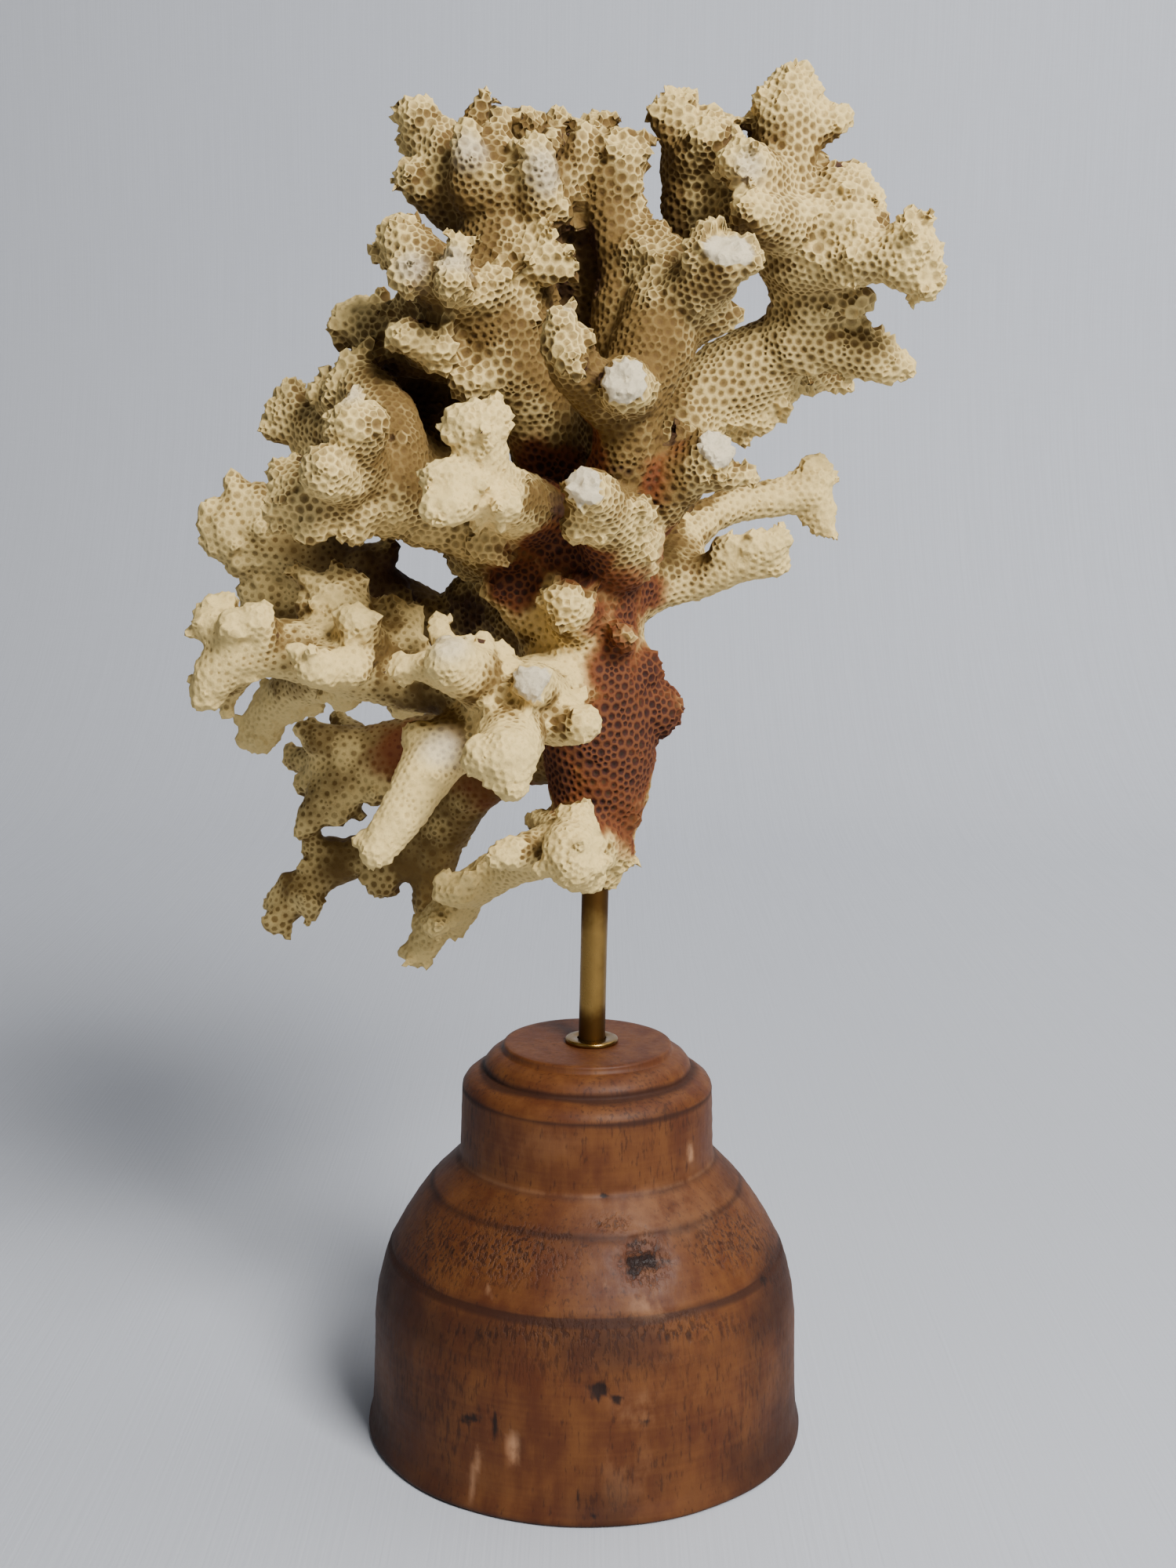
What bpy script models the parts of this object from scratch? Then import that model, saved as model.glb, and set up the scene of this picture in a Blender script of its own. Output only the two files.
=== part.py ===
"""Branching coral on a brass rod, set in a turned wooden base.

The origin is the centre of the base's flat underside, +Z is up and the photographed
side faces -Y. The coral is modelled limb by limb. Each limb is a family of short
branches, and each branch is a row of stations along its middle line.
"""

import math

import bmesh
import bpy
from mathutils import Matrix, Vector

MM = 0.001

# The stand, in millimetres.
BASE_HEIGHT = 75.6
BASE_TOP_RADIUS = 15.9
BASE_NECK_RADIUS = 23.6
BASE_SHOULDER_RADIUS = 40.6
BASE_FOOT_RADIUS = 41.8
BORE_DEPTH = 22.0
ROD_RADIUS = 2.5
ROD_LEAN_DEG = 0.7
ROD_SHIFT = 0.5
ROD_TOP = 118.0
WASHER_RADIUS = 5.0
WASHER_THICKNESS = 0.9
WASHER_EDGE = 0.25
WASHER_CLEARANCE = 0.02
GAP = 0.3
FIT_SHARE = 1.15
DRILL_EXTRA = 2.0
DRILL_START = 0.3
BASE_TURN_STEPS = 40
WASHER_TURN_STEPS = 28
BAR_SIDES = 32
SHARP_ANGLE_DEG = 35

# How finely the coral's solids are cut.
BALL_CUTS = 2
BRANCH_SIDES = 14
SKIN_VOXEL = 1.0
SKIN_SMOOTHING = 2
SKIN_PLUMP = 0.15
TRIANGLE_AREA = 14.3

# Where the stations were read: the eye, its tilt and its focal length in picture units.
EYE_ACROSS = -0.4
EYE_BACK = 364.5
EYE_HEIGHT = 187.3
EYE_PITCH_DEG = 9.7
EYE_ROLL_DEG = 0.55
FOCAL = 2550.0
CENTRE_ACROSS = 750
CENTRE_DOWN = 1000

# Every station is (across, down) in the view, how far it stands towards the viewer in
# millimetres, and the branch's radius there in millimetres.
LIMBS = {
    "coral_trunk": {
        "shaft": ((765, 1112, 0, 4.3), (763, 1062, 0, 7.3), (764, 1000, 0, 9.9), (764, 940, 0, 11.2),
            (755, 880, 0, 11.8), (740, 820, 0, 11.8), (738, 760, 0, 12.6), (742, 705, 0, 12.0),
            (738, 665, 0, 10.5)),
        "crown_root": ((738, 665, 0, 10.5), (722, 640, -3, 8.6)),
        "centre_root": ((750, 690, 2, 10.5), (786, 640, 7, 7.8)),
        "lower_left_root": ((705, 925, -10, 8.5), (655, 930, -18, 6.4)),
        "upper_left_root": ((700, 740, -8, 9.0), (645, 735, -14, 7.0)),
        "rear_left_root": ((700, 795, -9, 8.5), (640, 790, -15, 6.6)),
        "front_knob": ((738, 792, 9, 5.5), (722, 768, 17, 4.4)),
        "small_knob": ((785, 822, 8, 3.6), (800, 812, 13, 2.4)),
        "ragged_edge": ((830, 902, 0, 6.0), (852, 905, 1, 3.0), (863, 907, 1, 1.2)),
        "edge_bump": ((812, 856, 2, 5.0), (831, 856, 2, 2.2)),
        "left_nub": ((690, 790, 4, 6.0), (655, 768, 6, 3.6), (624, 753, 6, 2.2)),
        "front_stub": ((790, 700, 9, 8.0), (780, 668, 17, 6.4), (762, 640, 26, 5.0), (746, 621, 32, 3.6)),
        "stub_left_knob": ((762, 662, 21, 4.8), (737, 668, 25, 3.4)),
        "stub_right_knob": ((780, 660, 19, 5.4), (808, 655, 19, 4.2)),
        "stub_neck": ((795, 695, 12, 6.0), (815, 690, 11, 4.2)),
        "right_front_finger": ((795, 665, 4, 8.0), (838, 628, 8, 6.6), (880, 597, 12, 5.4),
            (910, 576, 16, 4.0)),
        "right_front_tip": ((880, 603, 12, 4.4), (928, 606, 13, 3.0), (958, 607, 13, 2.0)),
        "right_front_spur": ((868, 590, 9, 4.6), (878, 557, 8, 2.6)),
        "foot_lip": ((780, 1080, 2, 5.0), (790, 1098, 2, 2.6)),
    },
    "coral_centre_limb": {
        "stem": ((786, 640, 7, 7.6), (800, 580, 12, 6.4), (802, 535, 14, 6.0), (812, 485, 15, 7.0),
            (832, 440, 14, 7.6), (850, 395, 12, 7.6), (858, 350, 9, 6.6)),
        "broken_stub": ((805, 500, 17, 5.8), (797, 490, 29, 4.7)),
        "left_finger": ((795, 530, 14, 5.6), (760, 495, 20, 5.2), (732, 468, 25, 4.8),
            (718, 440, 28, 4.2), (711, 408, 30, 2.5)),
        "left_finger_inner": ((728, 455, 27, 3.4), (738, 425, 27, 2.0)),
        "left_finger_outer": ((732, 470, 27, 3.2), (727, 455, 31, 2.9)),
        "right_stub": ((852, 395, 12, 6.5), (895, 360, 18, 5.4), (925, 330, 22, 5.0), (945, 322, 22, 3.8)),
        "right_stub_bud": ((905, 335, 20, 4.0), (900, 300, 22, 2.8)),
        "right_stub_lip": ((930, 335, 20, 4.2), (958, 332, 20, 2.8)),
        "right_stub_root": ((900, 358, 16, 4.6), (912, 370, 16, 3.6)),
        "low_right_finger": ((870, 410, 10, 5.6), (915, 402, 12, 3.7), (937, 400, 12, 2.3)),
        "rear_stem": ((808, 500, 9, 6.4), (800, 440, 6, 6.8), (800, 380, 4, 6.6),
            (806, 330, 4, 5.6), (798, 280, 2, 4.7), (785, 235, 0, 4.2)),
        "rear_stem_tip": ((785, 235, -1, 4.2), (765, 195, -2, 3.8), (757, 168, -2, 3.2)),
        "tip_left": ((757, 170, -2, 3.0), (747, 155, -2, 1.8)),
        "tip_right": ((757, 170, -2, 3.0), (766, 154, -2, 1.9)),
        "upper_bud": ((784, 262, 3, 4.4), (794, 222, 5, 3.8), (800, 195, 5, 3.2)),
        "bud_left": ((797, 190, 4, 2.6), (789, 168, 4, 1.6)),
        "bud_right": ((801, 190, 4, 2.8), (816, 174, 4, 1.8)),
        "left_flank": ((792, 330, 4, 4.8), (778, 270, 4, 4.4), (768, 215, 4, 3.6), (765, 188, 4, 2.6)),
        "bud_side": ((800, 205, 4, 3.0), (820, 212, 3, 1.8)),
        "side_spur": ((790, 268, 3, 4.0), (811, 258, 4, 2.0)),
        "front_bud": ((812, 325, 6, 5.4), (832, 306, 6, 4.0), (845, 312, 6, 3.4)),
    },
    "coral_left_crown_limb": {
        "rear_web": ((745, 566, -7, 6.4), (736, 500, -7, 6.6), (748, 440, -9, 6.4),
            (746, 370, -8, 6.4), (748, 300, -3, 5.4), (742, 250, -2, 4.8), (735, 215, -2, 3.8)),
        "stem": ((722, 640, -3, 8.4), (705, 585, -2, 7.2), (690, 530, 0, 7.6), (660, 480, 2, 9.4),
            (640, 430, 3, 9.8), (638, 370, 3, 9.8), (648, 310, 1, 9.6), (650, 262, -1, 8.6)),
        "hidden_nub": ((640, 470, 6, 6.0), (602, 486, 8, 4.6)),
        "side_arm": ((620, 390, 4, 8.0), (585, 370, 10, 6.2), (550, 345, 14, 5.4), (522, 318, 15, 4.6),
            (506, 298, 14, 3.6)),
        "side_arm_tip": ((515, 305, 14, 4.0), (521, 291, 12, 3.0)),
        "side_arm_left": ((540, 330, 14, 4.6), (502, 325, 10, 3.2), (485, 325, 8, 2.2)),
        "side_arm_knob": ((545, 345, 16, 4.6), (515, 350, 18, 3.2)),
        "low_knob": ((555, 360, 10, 4.8), (525, 385, 4, 3.4), (516, 402, 2, 2.4)),
        "pale_finger": ((590, 378, 12, 4.2), (578, 350, 20, 3.3), (582, 322, 22, 2.6),
            (586, 306, 22, 1.8)),
        "pale_finger_side": ((580, 365, 18, 4.0), (574, 358, 24, 3.2)),
        "ledge_knob": ((620, 372, 12, 4.0), (612, 362, 14, 2.8)),
        "ledge_spur": ((640, 368, 11, 3.6), (638, 353, 13, 2.0)),
        "front_fan": ((665, 335, 7, 5.4), (688, 334, 10, 3.8)),
        "fan_upper": ((690, 330, 11, 2.8), (712, 324, 12, 2.0), (727, 322, 12, 1.4)),
        "fan_lower": ((690, 345, 11, 2.8), (716, 350, 12, 2.0), (735, 352, 12, 1.4)),
        "fan_top": ((688, 325, 10, 2.8), (700, 306, 11, 1.8), (704, 298, 11, 1.3)),
        "right_shelf": ((680, 280, 4, 6.0), (710, 268, 8, 3.4)),
        "right_shelf_rear": ((680, 300, 0, 6.6), (714, 292, -4, 4.4)),
        "corner_arm": ((625, 275, -2, 7.0), (582, 240, -3, 5.8), (552, 200, -3, 4.2),
            (536, 168, -2, 3.4), (531, 144, -1, 3.4)),
        "corner_lobe": ((548, 205, -5, 3.6), (523, 184, -7, 2.6)),
        "corner_left": ((532, 150, 0, 3.2), (519, 137, -1, 2.4)),
        "corner_right": ((532, 150, 0, 3.2), (545, 142, 0, 2.4)),
        "middle_left_finger": ((582, 262, -2, 5.6), (542, 236, 0, 4.4), (523, 223, 1, 3.0)),
        "middle_knob": ((575, 225, 1, 4.4), (562, 184, 1, 3.2), (566, 168, 0, 2.2)),
        "middle_spur": ((570, 192, 0, 2.4), (575, 159, -1, 1.7)),
        "pale_face": ((605, 238, 6, 5.2), (598, 205, 9, 3.8), (594, 168, 9, 2.6)),
        "top_spur": ((612, 192, -4, 4.0), (606, 152, -4, 2.6), (620, 122, -4, 1.6)),
        "centre_finger": ((630, 240, 5, 6.4), (632, 200, 6, 4.0), (634, 168, 4, 2.8),
            (640, 145, 3, 2.0)),
        "broken_ridge": ((668, 250, 6, 5.0), (668, 207, 8, 2.8), (664, 180, 8, 1.5)),
        "rear_finger": ((680, 230, -4, 5.0), (676, 182, -6, 3.4), (668, 150, -6, 2.6)),
        "rear_spur": ((676, 182, -6, 2.2), (684, 155, -6, 1.6)),
        "front_finger": ((690, 250, 8, 5.2), (688, 215, 11, 3.6), (681, 182, 12, 2.6)),
        "rear_right_finger": ((708, 238, -7, 4.8), (714, 188, -12, 3.4), (713, 152, -13, 2.6)),
        "crater_finger": ((705, 250, 3, 5.2), (728, 212, 6, 3.4), (741, 180, 7, 2.4),
            (745, 163, 6, 1.8)),
        "crater_rim": ((708, 250, 4, 4.6), (708, 208, 3, 3.0), (701, 174, 2, 2.2)),
    },
    "coral_mid_left_limb": {
        "arm": ((625, 450, -2, 7.6), (575, 446, -2, 6.4), (515, 438, -3, 6.0), (475, 420, -4, 5.4),
            (448, 410, -4, 4.0), (428, 417, -4, 2.2)),
        "end_tip": ((470, 412, -4, 4.2), (463, 389, -4, 2.5)),
        "end_bud": ((450, 410, -3, 3.2), (434, 402, -3, 2.1)),
        "upper_nub": ((500, 430, -4, 4.0), (494, 407, -5, 2.2)),
        "pale_finger": ((545, 440, 2, 5.0), (540, 436, 12, 4.0), (518, 430, 15, 3.4), (507, 425, 15, 2.4)),
        "finger_knob": ((540, 438, 10, 4.0), (562, 445, 13, 3.6)),
    },
    "coral_front_centre_limb": {
        "root": ((690, 658, 5, 7.0), (655, 642, 17, 6.2), (620, 622, 29, 5.8)),
        "upper_knob": ((618, 618, 31, 5.4), (612, 582, 35, 4.9), (608, 547, 37, 4.8)),
        "upper_left_bump": ((605, 547, 37, 3.6), (583, 531, 38, 2.7)),
        "upper_right_bump": ((610, 547, 37, 3.6), (635, 531, 37, 2.7)),
        "upper_top_bump": ((608, 542, 37, 2.8), (607, 517, 37, 1.5)),
        "left_nubs": ((605, 618, 34, 4.6), (570, 609, 39, 3.4), (549, 607, 40, 2.4)),
        "lower_lobe": ((600, 628, 35, 4.6), (572, 644, 40, 4.0), (556, 649, 41, 3.0)),
        "right_lobe": ((620, 632, 34, 4.6), (641, 643, 36, 3.6)),
    },
    "coral_upper_left_limb": {
        "pit_web": ((515, 615, 0, 6.4), (528, 560, -9, 6.0), (556, 500, -14, 5.6), (580, 462, -12, 5.2)),
        "pit_web_side": ((570, 600, -6, 5.0), (560, 555, -12, 5.0), (566, 520, -13, 5.0)),
        "back_arm": ((560, 660, 2, 6.2), (562, 662, -18, 5.2), (560, 664, -30, 4.0)),
        "back_arm_tip": ((562, 662, -20, 4.4), (545, 650, -34, 3.2)),
        "arm": ((700, 722, 0, 7.6), (650, 703, 2, 6.8), (590, 672, 6, 6.2), (530, 645, 10, 6.4),
            (480, 628, 14, 7.0), (430, 632, 18, 6.0), (388, 636, 20, 4.6), (360, 640, 20, 3.2)),
        "root_lobe": ((640, 700, 0, 6.4), (597, 712, -8, 4.4)),
        "root_bump": ((650, 690, 6, 6.0), (622, 690, 11, 4.6)),
        "rear_branch": ((500, 620, 14, 6.8), (500, 575, 12, 6.8), (490, 535, 8, 6.4), (468, 500, 5, 5.4),
            (458, 477, 3, 4.0), (455, 462, 2, 2.6)),
        "rear_spur": ((468, 498, 4, 4.0), (442, 471, 2, 2.6)),
        "rear_knob": ((462, 505, 5, 4.2), (434, 490, 3, 3.2)),
        "rear_left_knob": ((465, 520, 4, 4.6), (420, 507, -1, 3.4), (403, 499, -2, 2.4)),
        "upright_finger": ((462, 605, 18, 5.6), (458, 570, 26, 4.6), (448, 541, 31, 4.1)),
        "upright_bump": ((462, 565, 27, 4.2), (472, 537, 30, 3.6)),
        "smooth_knob": ((440, 615, 22, 5.0), (415, 600, 31, 4.6)),
        "left_spur": ((392, 625, 20, 4.6), (364, 613, 18, 3.4), (355, 594, 17, 2.1)),
        "left_lobe": ((395, 645, 20, 4.4), (360, 655, 18, 3.2)),
        "low_bud": ((400, 655, 20, 4.2), (402, 677, 20, 2.7)),
        "under_lobe": ((455, 650, 17, 5.0), (452, 675, 17, 3.4)),
        "under_bump": ((490, 655, 13, 4.6), (500, 663, 13, 3.4)),
        "left_arm": ((485, 560, 6, 6.2), (440, 555, -4, 5.8), (402, 547, -9, 5.4), (380, 522, -10, 4.4),
            (370, 497, -10, 2.6)),
        "left_arm_bump": ((385, 537, -10, 4.2), (354, 521, -10, 2.8)),
        "left_arm_tip": ((388, 550, -10, 4.2), (348, 548, -10, 2.4), (339, 541, -10, 1.5)),
        "left_arm_knob": ((400, 552, -9, 4.4), (387, 575, -9, 2.5)),
        "pit_web_left": ((532, 545, -10, 5.4), (520, 505, -13, 4.2), (518, 480, -13, 3.4)),
        "under_ridge": ((520, 655, 10, 5.2), (535, 668, 9, 4.6)),
    },
    "coral_rear_left_limb": {
        "root_lobe": ((640, 770, -15, 7.0), (598, 765, -18, 5.2)),
        "arm": ((640, 790, -15, 6.6), (565, 792, -20, 5.2), (500, 768, -20, 6.0), (450, 730, -18, 6.4),
            (385, 702, -14, 6.2), (330, 682, -13, 6.0), (292, 668, -12, 4.6), (270, 668, -12, 3.2)),
        "upright_finger": ((325, 672, -12, 4.8), (306, 632, -12, 3.4), (297, 610, -12, 2.1)),
        "upright_root": ((335, 672, -12, 5.2), (328, 642, -12, 4.2)),
        "end_spur": ((292, 658, -12, 3.8), (273, 651, -12, 2.5)),
        "end_lobe": ((295, 680, -12, 4.6), (281, 696, -12, 3.2)),
        "under_lobe": ((330, 695, -13, 5.2), (306, 716, -12, 3.4)),
        "under_knob": ((360, 703, -14, 5.2), (345, 720, -14, 3.8)),
        "low_branch": ((440, 735, -18, 5.8), (385, 768, -18, 5.4), (342, 767, -16, 5.0),
            (324, 754, -15, 3.6)),
        "hole_nub": ((466, 722, -14, 5.0), (489, 710, -13, 3.2), (499, 694, -13, 2.0)),
        "hole_lobe": ((480, 745, -15, 5.0), (503, 752, -14, 3.2), (518, 762, -13, 2.0)),
    },
    "coral_front_left_limb": {
        "root": ((728, 885, 4, 9.0), (685, 887, 12, 7.6), (640, 890, 18, 6.8)),
        "forearm": ((640, 885, 19, 6.0), (602, 862, 28, 5.2), (572, 846, 35, 4.6)),
        "ledge": ((590, 862, 27, 4.4), (545, 851, 28, 3.1), (510, 852, 26, 2.5)),
        "first_finger": ((620, 872, 24, 4.0), (620, 836, 24, 2.5), (617, 813, 24, 1.8)),
        "second_finger": ((645, 880, 22, 4.0), (645, 846, 22, 2.7), (641, 827, 22, 1.9)),
        "left_finger": ((585, 852, 28, 3.6), (563, 813, 23, 2.6), (558, 791, 22, 1.9)),
        "long_finger": ((640, 900, 18, 6.4), (602, 935, 18, 6.0), (562, 958, 22, 5.8),
            (535, 1002, 26, 5.0), (508, 1046, 29, 4.3), (479, 1085, 31, 3.4)),
        "finger_corner": ((560, 950, 22, 4.6), (535, 940, 22, 3.4), (518, 936, 21, 1.6)),
        "front_knob": ((655, 905, 19, 6.6), (648, 948, 32, 6.2), (645, 968, 39, 5.6)),
        "front_knob_tip": ((645, 965, 40, 5.2), (653, 1000, 41, 3.4)),
        "front_knob_side": ((645, 960, 38, 5.0), (615, 965, 40, 4.0)),
        "right_stub": ((690, 905, 14, 6.4), (722, 920, 23, 4.7), (742, 925, 26, 3.7)),
        "broken_disc": ((690, 890, 14, 6.0), (682, 876, 26, 4.5), (677, 870, 33, 3.3)),
    },
    "coral_long_left_limb": {
        "arm": ((618, 884, 14, 6.4), (560, 872, 12, 6.0), (510, 862, 12, 6.2), (460, 848, 14, 6.6),
            (400, 832, 16, 5.8), (345, 826, 18, 5.4), (305, 832, 20, 5.0), (275, 862, 20, 4.4),
            (259, 888, 20, 3.0)),
        "end_upper": ((312, 825, 20, 5.0), (282, 802, 18, 4.4), (266, 787, 17, 3.2)),
        "end_finger": ((290, 800, 18, 3.8), (285, 771, 16, 2.6)),
        "end_front": ((332, 820, 20, 4.8), (326, 791, 24, 3.6)),
        "end_bud": ((300, 812, 22, 3.8), (296, 793, 24, 2.8)),
        "ledge": ((430, 848, 18, 5.2), (412, 853, 26, 4.2), (397, 854, 28, 3.2)),
        "ledge_bump": ((440, 846, 18, 5.0), (446, 851, 24, 4.0)),
        "raised_knob": ((462, 835, 16, 5.4), (456, 800, 22, 4.2), (453, 793, 24, 3.6)),
        "upper_branch": ((470, 830, 14, 5.4), (446, 792, 12, 5.2), (426, 767, 11, 5.0)),
        "upper_left": ((426, 767, 11, 4.2), (392, 740, 10, 2.6), (376, 725, 10, 1.7)),
        "upper_tip": ((430, 767, 11, 4.0), (431, 740, 10, 2.4), (430, 723, 10, 1.5)),
        "upper_side": ((420, 777, 12, 4.0), (395, 776, 12, 2.3), (384, 778, 12, 1.6)),
        "upper_right": ((442, 776, 11, 4.0), (458, 753, 10, 2.4), (464, 739, 10, 1.5)),
        "middle_finger": ((515, 850, 12, 5.2), (512, 812, 11, 4.0), (507, 780, 10, 2.5),
            (500, 765, 10, 1.6)),
        "middle_spur": ((513, 814, 11, 3.6), (528, 786, 8, 2.3), (531, 775, 8, 1.5)),
        "under_nub": ((450, 856, 12, 5.2), (440, 884, 8, 3.8)),
        "dark_lobe": ((530, 872, 8, 5.0), (513, 896, 2, 3.4)),
        "hanging_branch": ((440, 850, 8, 5.2), (385, 873, -4, 4.8), (346, 905, -10, 4.4),
            (333, 937, -12, 4.0)),
        "hanging_right": ((375, 887, -6, 4.2), (398, 899, -8, 2.8)),
        "hanging_left": ((360, 892, -8, 4.2), (373, 907, -8, 2.8)),
        "end_under": ((302, 850, 14, 4.2), (283, 890, 8, 2.6)),
        "hanging_nub": ((362, 893, -8, 3.8), (340, 884, -10, 2.2)),
        "hanging_end": ((335, 932, -12, 3.6), (318, 944, -12, 2.0)),
    },
    "coral_lower_front_limb": {
        "arm": ((752, 1076, 7, 6.2), (722, 1080, 13, 5.8), (690, 1088, 10, 5.0), (655, 1100, 4, 4.6),
            (620, 1120, -3, 4.2), (588, 1145, -8, 4.0), (560, 1173, -11, 3.8), (541, 1205, -12, 3.6),
            (532, 1221, -12, 2.5)),
        "front_knob": ((735, 1068, 14, 5.0), (727, 1082, 22, 5.2), (730, 1100, 24, 4.8)),
        "front_knob_foot": ((732, 1104, 22, 4.6), (748, 1116, 18, 3.8)),
        "upper_ridge": ((735, 1065, 14, 4.4), (737, 1046, 17, 3.4)),
        "left_finger": ((690, 1086, 12, 4.2), (657, 1088, 17, 3.6), (636, 1092, 18, 2.8)),
        "rear_lobe": ((712, 1062, 6, 4.0), (690, 1048, 0, 2.6), (677, 1046, -1, 1.7)),
        "side_lobe": ((600, 1132, -4, 4.0), (581, 1138, 2, 3.4)),
        "end_bump": ((575, 1162, -6, 3.6), (557, 1180, -3, 2.8)),
        "end_nub": ((590, 1163, -8, 3.6), (577, 1185, -9, 2.4)),
    },
    "coral_lower_left_limb": {
        "arm": ((705, 955, -9, 7.0), (652, 968, -15, 5.8), (604, 1006, -19, 5.4), (565, 1058, -23, 5.6),
            (520, 1095, -25, 4.8), (460, 1091, -27, 4.4), (417, 1107, -27, 4.4), (377, 1147, -25, 3.8),
            (351, 1177, -24, 2.7)),
        "under_tip": ((500, 1099, -25, 4.2), (485, 1130, -24, 3.0)),
        "left_nub": ((422, 1091, -27, 4.0), (397, 1079, -27, 2.8)),
        "end_bump": ((382, 1140, -24, 3.6), (396, 1154, -22, 2.6)),
        "end_spur": ((372, 1131, -26, 3.4), (350, 1144, -26, 2.2)),
        "cross_branch": ((558, 1085, -23, 5.0), (550, 1130, -24, 4.2), (546, 1162, -24, 3.2)),
    },
    "coral_lower_rear_limb": {
        "arm": ((655, 930, -18, 6.4), (595, 936, -25, 5.8), (540, 945, -27, 5.8), (500, 956, -28, 6.0),
            (450, 968, -29, 6.0), (422, 978, -29, 5.0)),
        "upper_tip": ((445, 955, -28, 5.0), (406, 943, -27, 3.8), (385, 928, -27, 2.0)),
        "down_finger": ((440, 987, -27, 5.4), (416, 1020, -25, 4.6), (394, 1045, -24, 3.2),
            (386, 1061, -24, 2.1)),
        "second_down_finger": ((440, 1002, -26, 4.6), (433, 1040, -24, 2.7)),
        "third_down_finger": ((482, 975, -26, 4.6), (479, 1009, -24, 3.4)),
        "rear_spur": ((410, 972, -34, 4.2), (374, 969, -38, 2.6)),
        "rear_upper_spur": ((450, 945, -33, 4.4), (431, 918, -36, 2.2)),
        "left_bump": ((408, 992, -30, 4.0), (388, 1000, -31, 2.8)),
    },
    "coral_right_arms": {
        "near_arm": ((795, 740, -5, 9.0), (848, 735, -7, 6.2), (888, 738, -6, 4.2), (920, 725, -4, 4.3),
            (958, 711, -2, 4.0), (985, 695, 0, 3.1), (1001, 690, 0, 2.2)),
        "near_end": ((950, 716, -3, 4.2), (984, 716, -2, 3.2), (996, 713, -2, 2.1)),
        "near_bud": ((925, 706, -2, 3.6), (931, 694, 0, 2.1)),
        "near_spur": ((957, 697, 0, 3.0), (966, 682, 0, 2.0)),
        "pale_arm": ((862, 722, -10, 5.4), (872, 690, -16, 4.4), (898, 660, -20, 3.9),
            (935, 645, -23, 3.8), (980, 637, -25, 3.8), (1018, 629, -26, 4.4), (1040, 613, -26, 4.2),
            (1045, 600, -26, 3.2)),
        "pale_tip": ((1036, 607, -26, 3.2), (1036, 587, -26, 1.7)),
        "pale_side_tip": ((1040, 611, -26, 3.4), (1055, 599, -26, 2.1)),
        "pale_under_lobe": ((1035, 630, -26, 4.2), (1050, 649, -26, 3.2), (1045, 672, -26, 2.5)),
        "pale_bud": ((1012, 630, -26, 3.4), (1008, 617, -26, 1.9)),
    },
    "coral_right_crown_limb": {
        "stem": ((800, 648, -8, 7.6), (850, 580, -14, 7.4), (885, 518, -18, 7.8), (930, 487, -19, 8.6),
            (975, 462, -18, 8.0), (1010, 425, -16, 5.8), (1016, 375, -12, 5.0), (1004, 320, -8, 6.8),
            (994, 262, -6, 7.2), (1000, 205, -6, 6.0), (1008, 160, -6, 5.8), (1008, 122, -6, 4.6),
            (1001, 100, -6, 2.8)),
        "under_left_tip": ((950, 507, -19, 6.0), (968, 535, -19, 3.2)),
        "back_arm": ((930, 482, -19, 7.2), (932, 464, -36, 5.6), (940, 448, -47, 3.8)),
        "back_arm_tip": ((932, 464, -36, 4.8), (912, 478, -47, 3.4)),
        "under_right_tip": ((970, 495, -19, 5.6), (995, 523, -19, 2.6)),
        "under_root_tip": ((920, 512, -19, 6.0), (925, 534, -19, 3.4)),
        "under_spur": ((985, 482, -19, 5.0), (1007, 503, -19, 2.4)),
        "rear_finger": ((1000, 470, -23, 5.0), (1045, 477, -28, 3.4), (1077, 490, -29, 2.1)),
        "rear_finger_bud": ((1045, 477, -28, 3.0), (1052, 463, -28, 2.3)),
        "low_arm": ((1010, 440, -14, 6.4), (1060, 441, -12, 5.2), (1105, 456, -10, 4.4),
            (1140, 466, -10, 3.4), (1156, 471, -10, 2.4)),
        "low_arm_spur": ((1090, 446, -10, 3.6), (1117, 428, -10, 1.8)),
        "low_arm_second_spur": ((1110, 451, -10, 3.4), (1136, 438, -10, 1.8)),
        "low_arm_under": ((1120, 466, -10, 3.6), (1135, 480, -10, 2.4)),
        "low_arm_bud": ((1060, 431, -12, 3.6), (1080, 417, -12, 2.3)),
        "short_finger": ((1030, 392, -10, 5.0), (1070, 384, -8, 3.8), (1098, 383, -6, 3.0)),
        "right_arm": ((1020, 330, -6, 6.6), (1065, 332, -2, 5.6), (1105, 330, 2, 4.8),
            (1135, 326, 4, 4.6), (1160, 322, 5, 5.2)),
        "right_fan": ((1160, 310, 5, 4.8), (1169, 290, 5, 3.2), (1172, 278, 5, 1.9)),
        "fan_side": ((1160, 325, 5, 4.6), (1182, 319, 5, 3.2)),
        "fan_low": ((1157, 335, 5, 4.6), (1183, 346, 5, 3.0)),
        "fan_under": ((1150, 340, 5, 4.2), (1179, 368, 5, 2.8)),
        "fan_root": ((1155, 316, 5, 4.0), (1150, 302, 4, 3.2)),
        "upper_right_lobe": ((1010, 290, -6, 6.8), (1050, 271, -4, 6.2), (1080, 247, -4, 5.4),
            (1090, 227, -5, 3.6)),
        "lobe_left": ((1060, 262, -3, 4.6), (1060, 232, -3, 2.8), (1064, 216, -3, 1.8)),
        "lobe_right": ((1075, 260, -3, 4.8), (1106, 256, -3, 3.6)),
        "lobe_outer": ((1080, 276, -2, 4.8), (1110, 285, -1, 3.8)),
        "lobe_under": ((1060, 292, -2, 5.4), (1098, 305, 1, 4.4)),
        "top_right": ((1008, 152, -6, 5.2), (1029, 120, -6, 3.2)),
        "top_bump": ((1005, 114, -6, 4.0), (1023, 102, -6, 2.8)),
        "top_left": ((1000, 152, -6, 5.4), (977, 136, -7, 3.2)),
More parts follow.
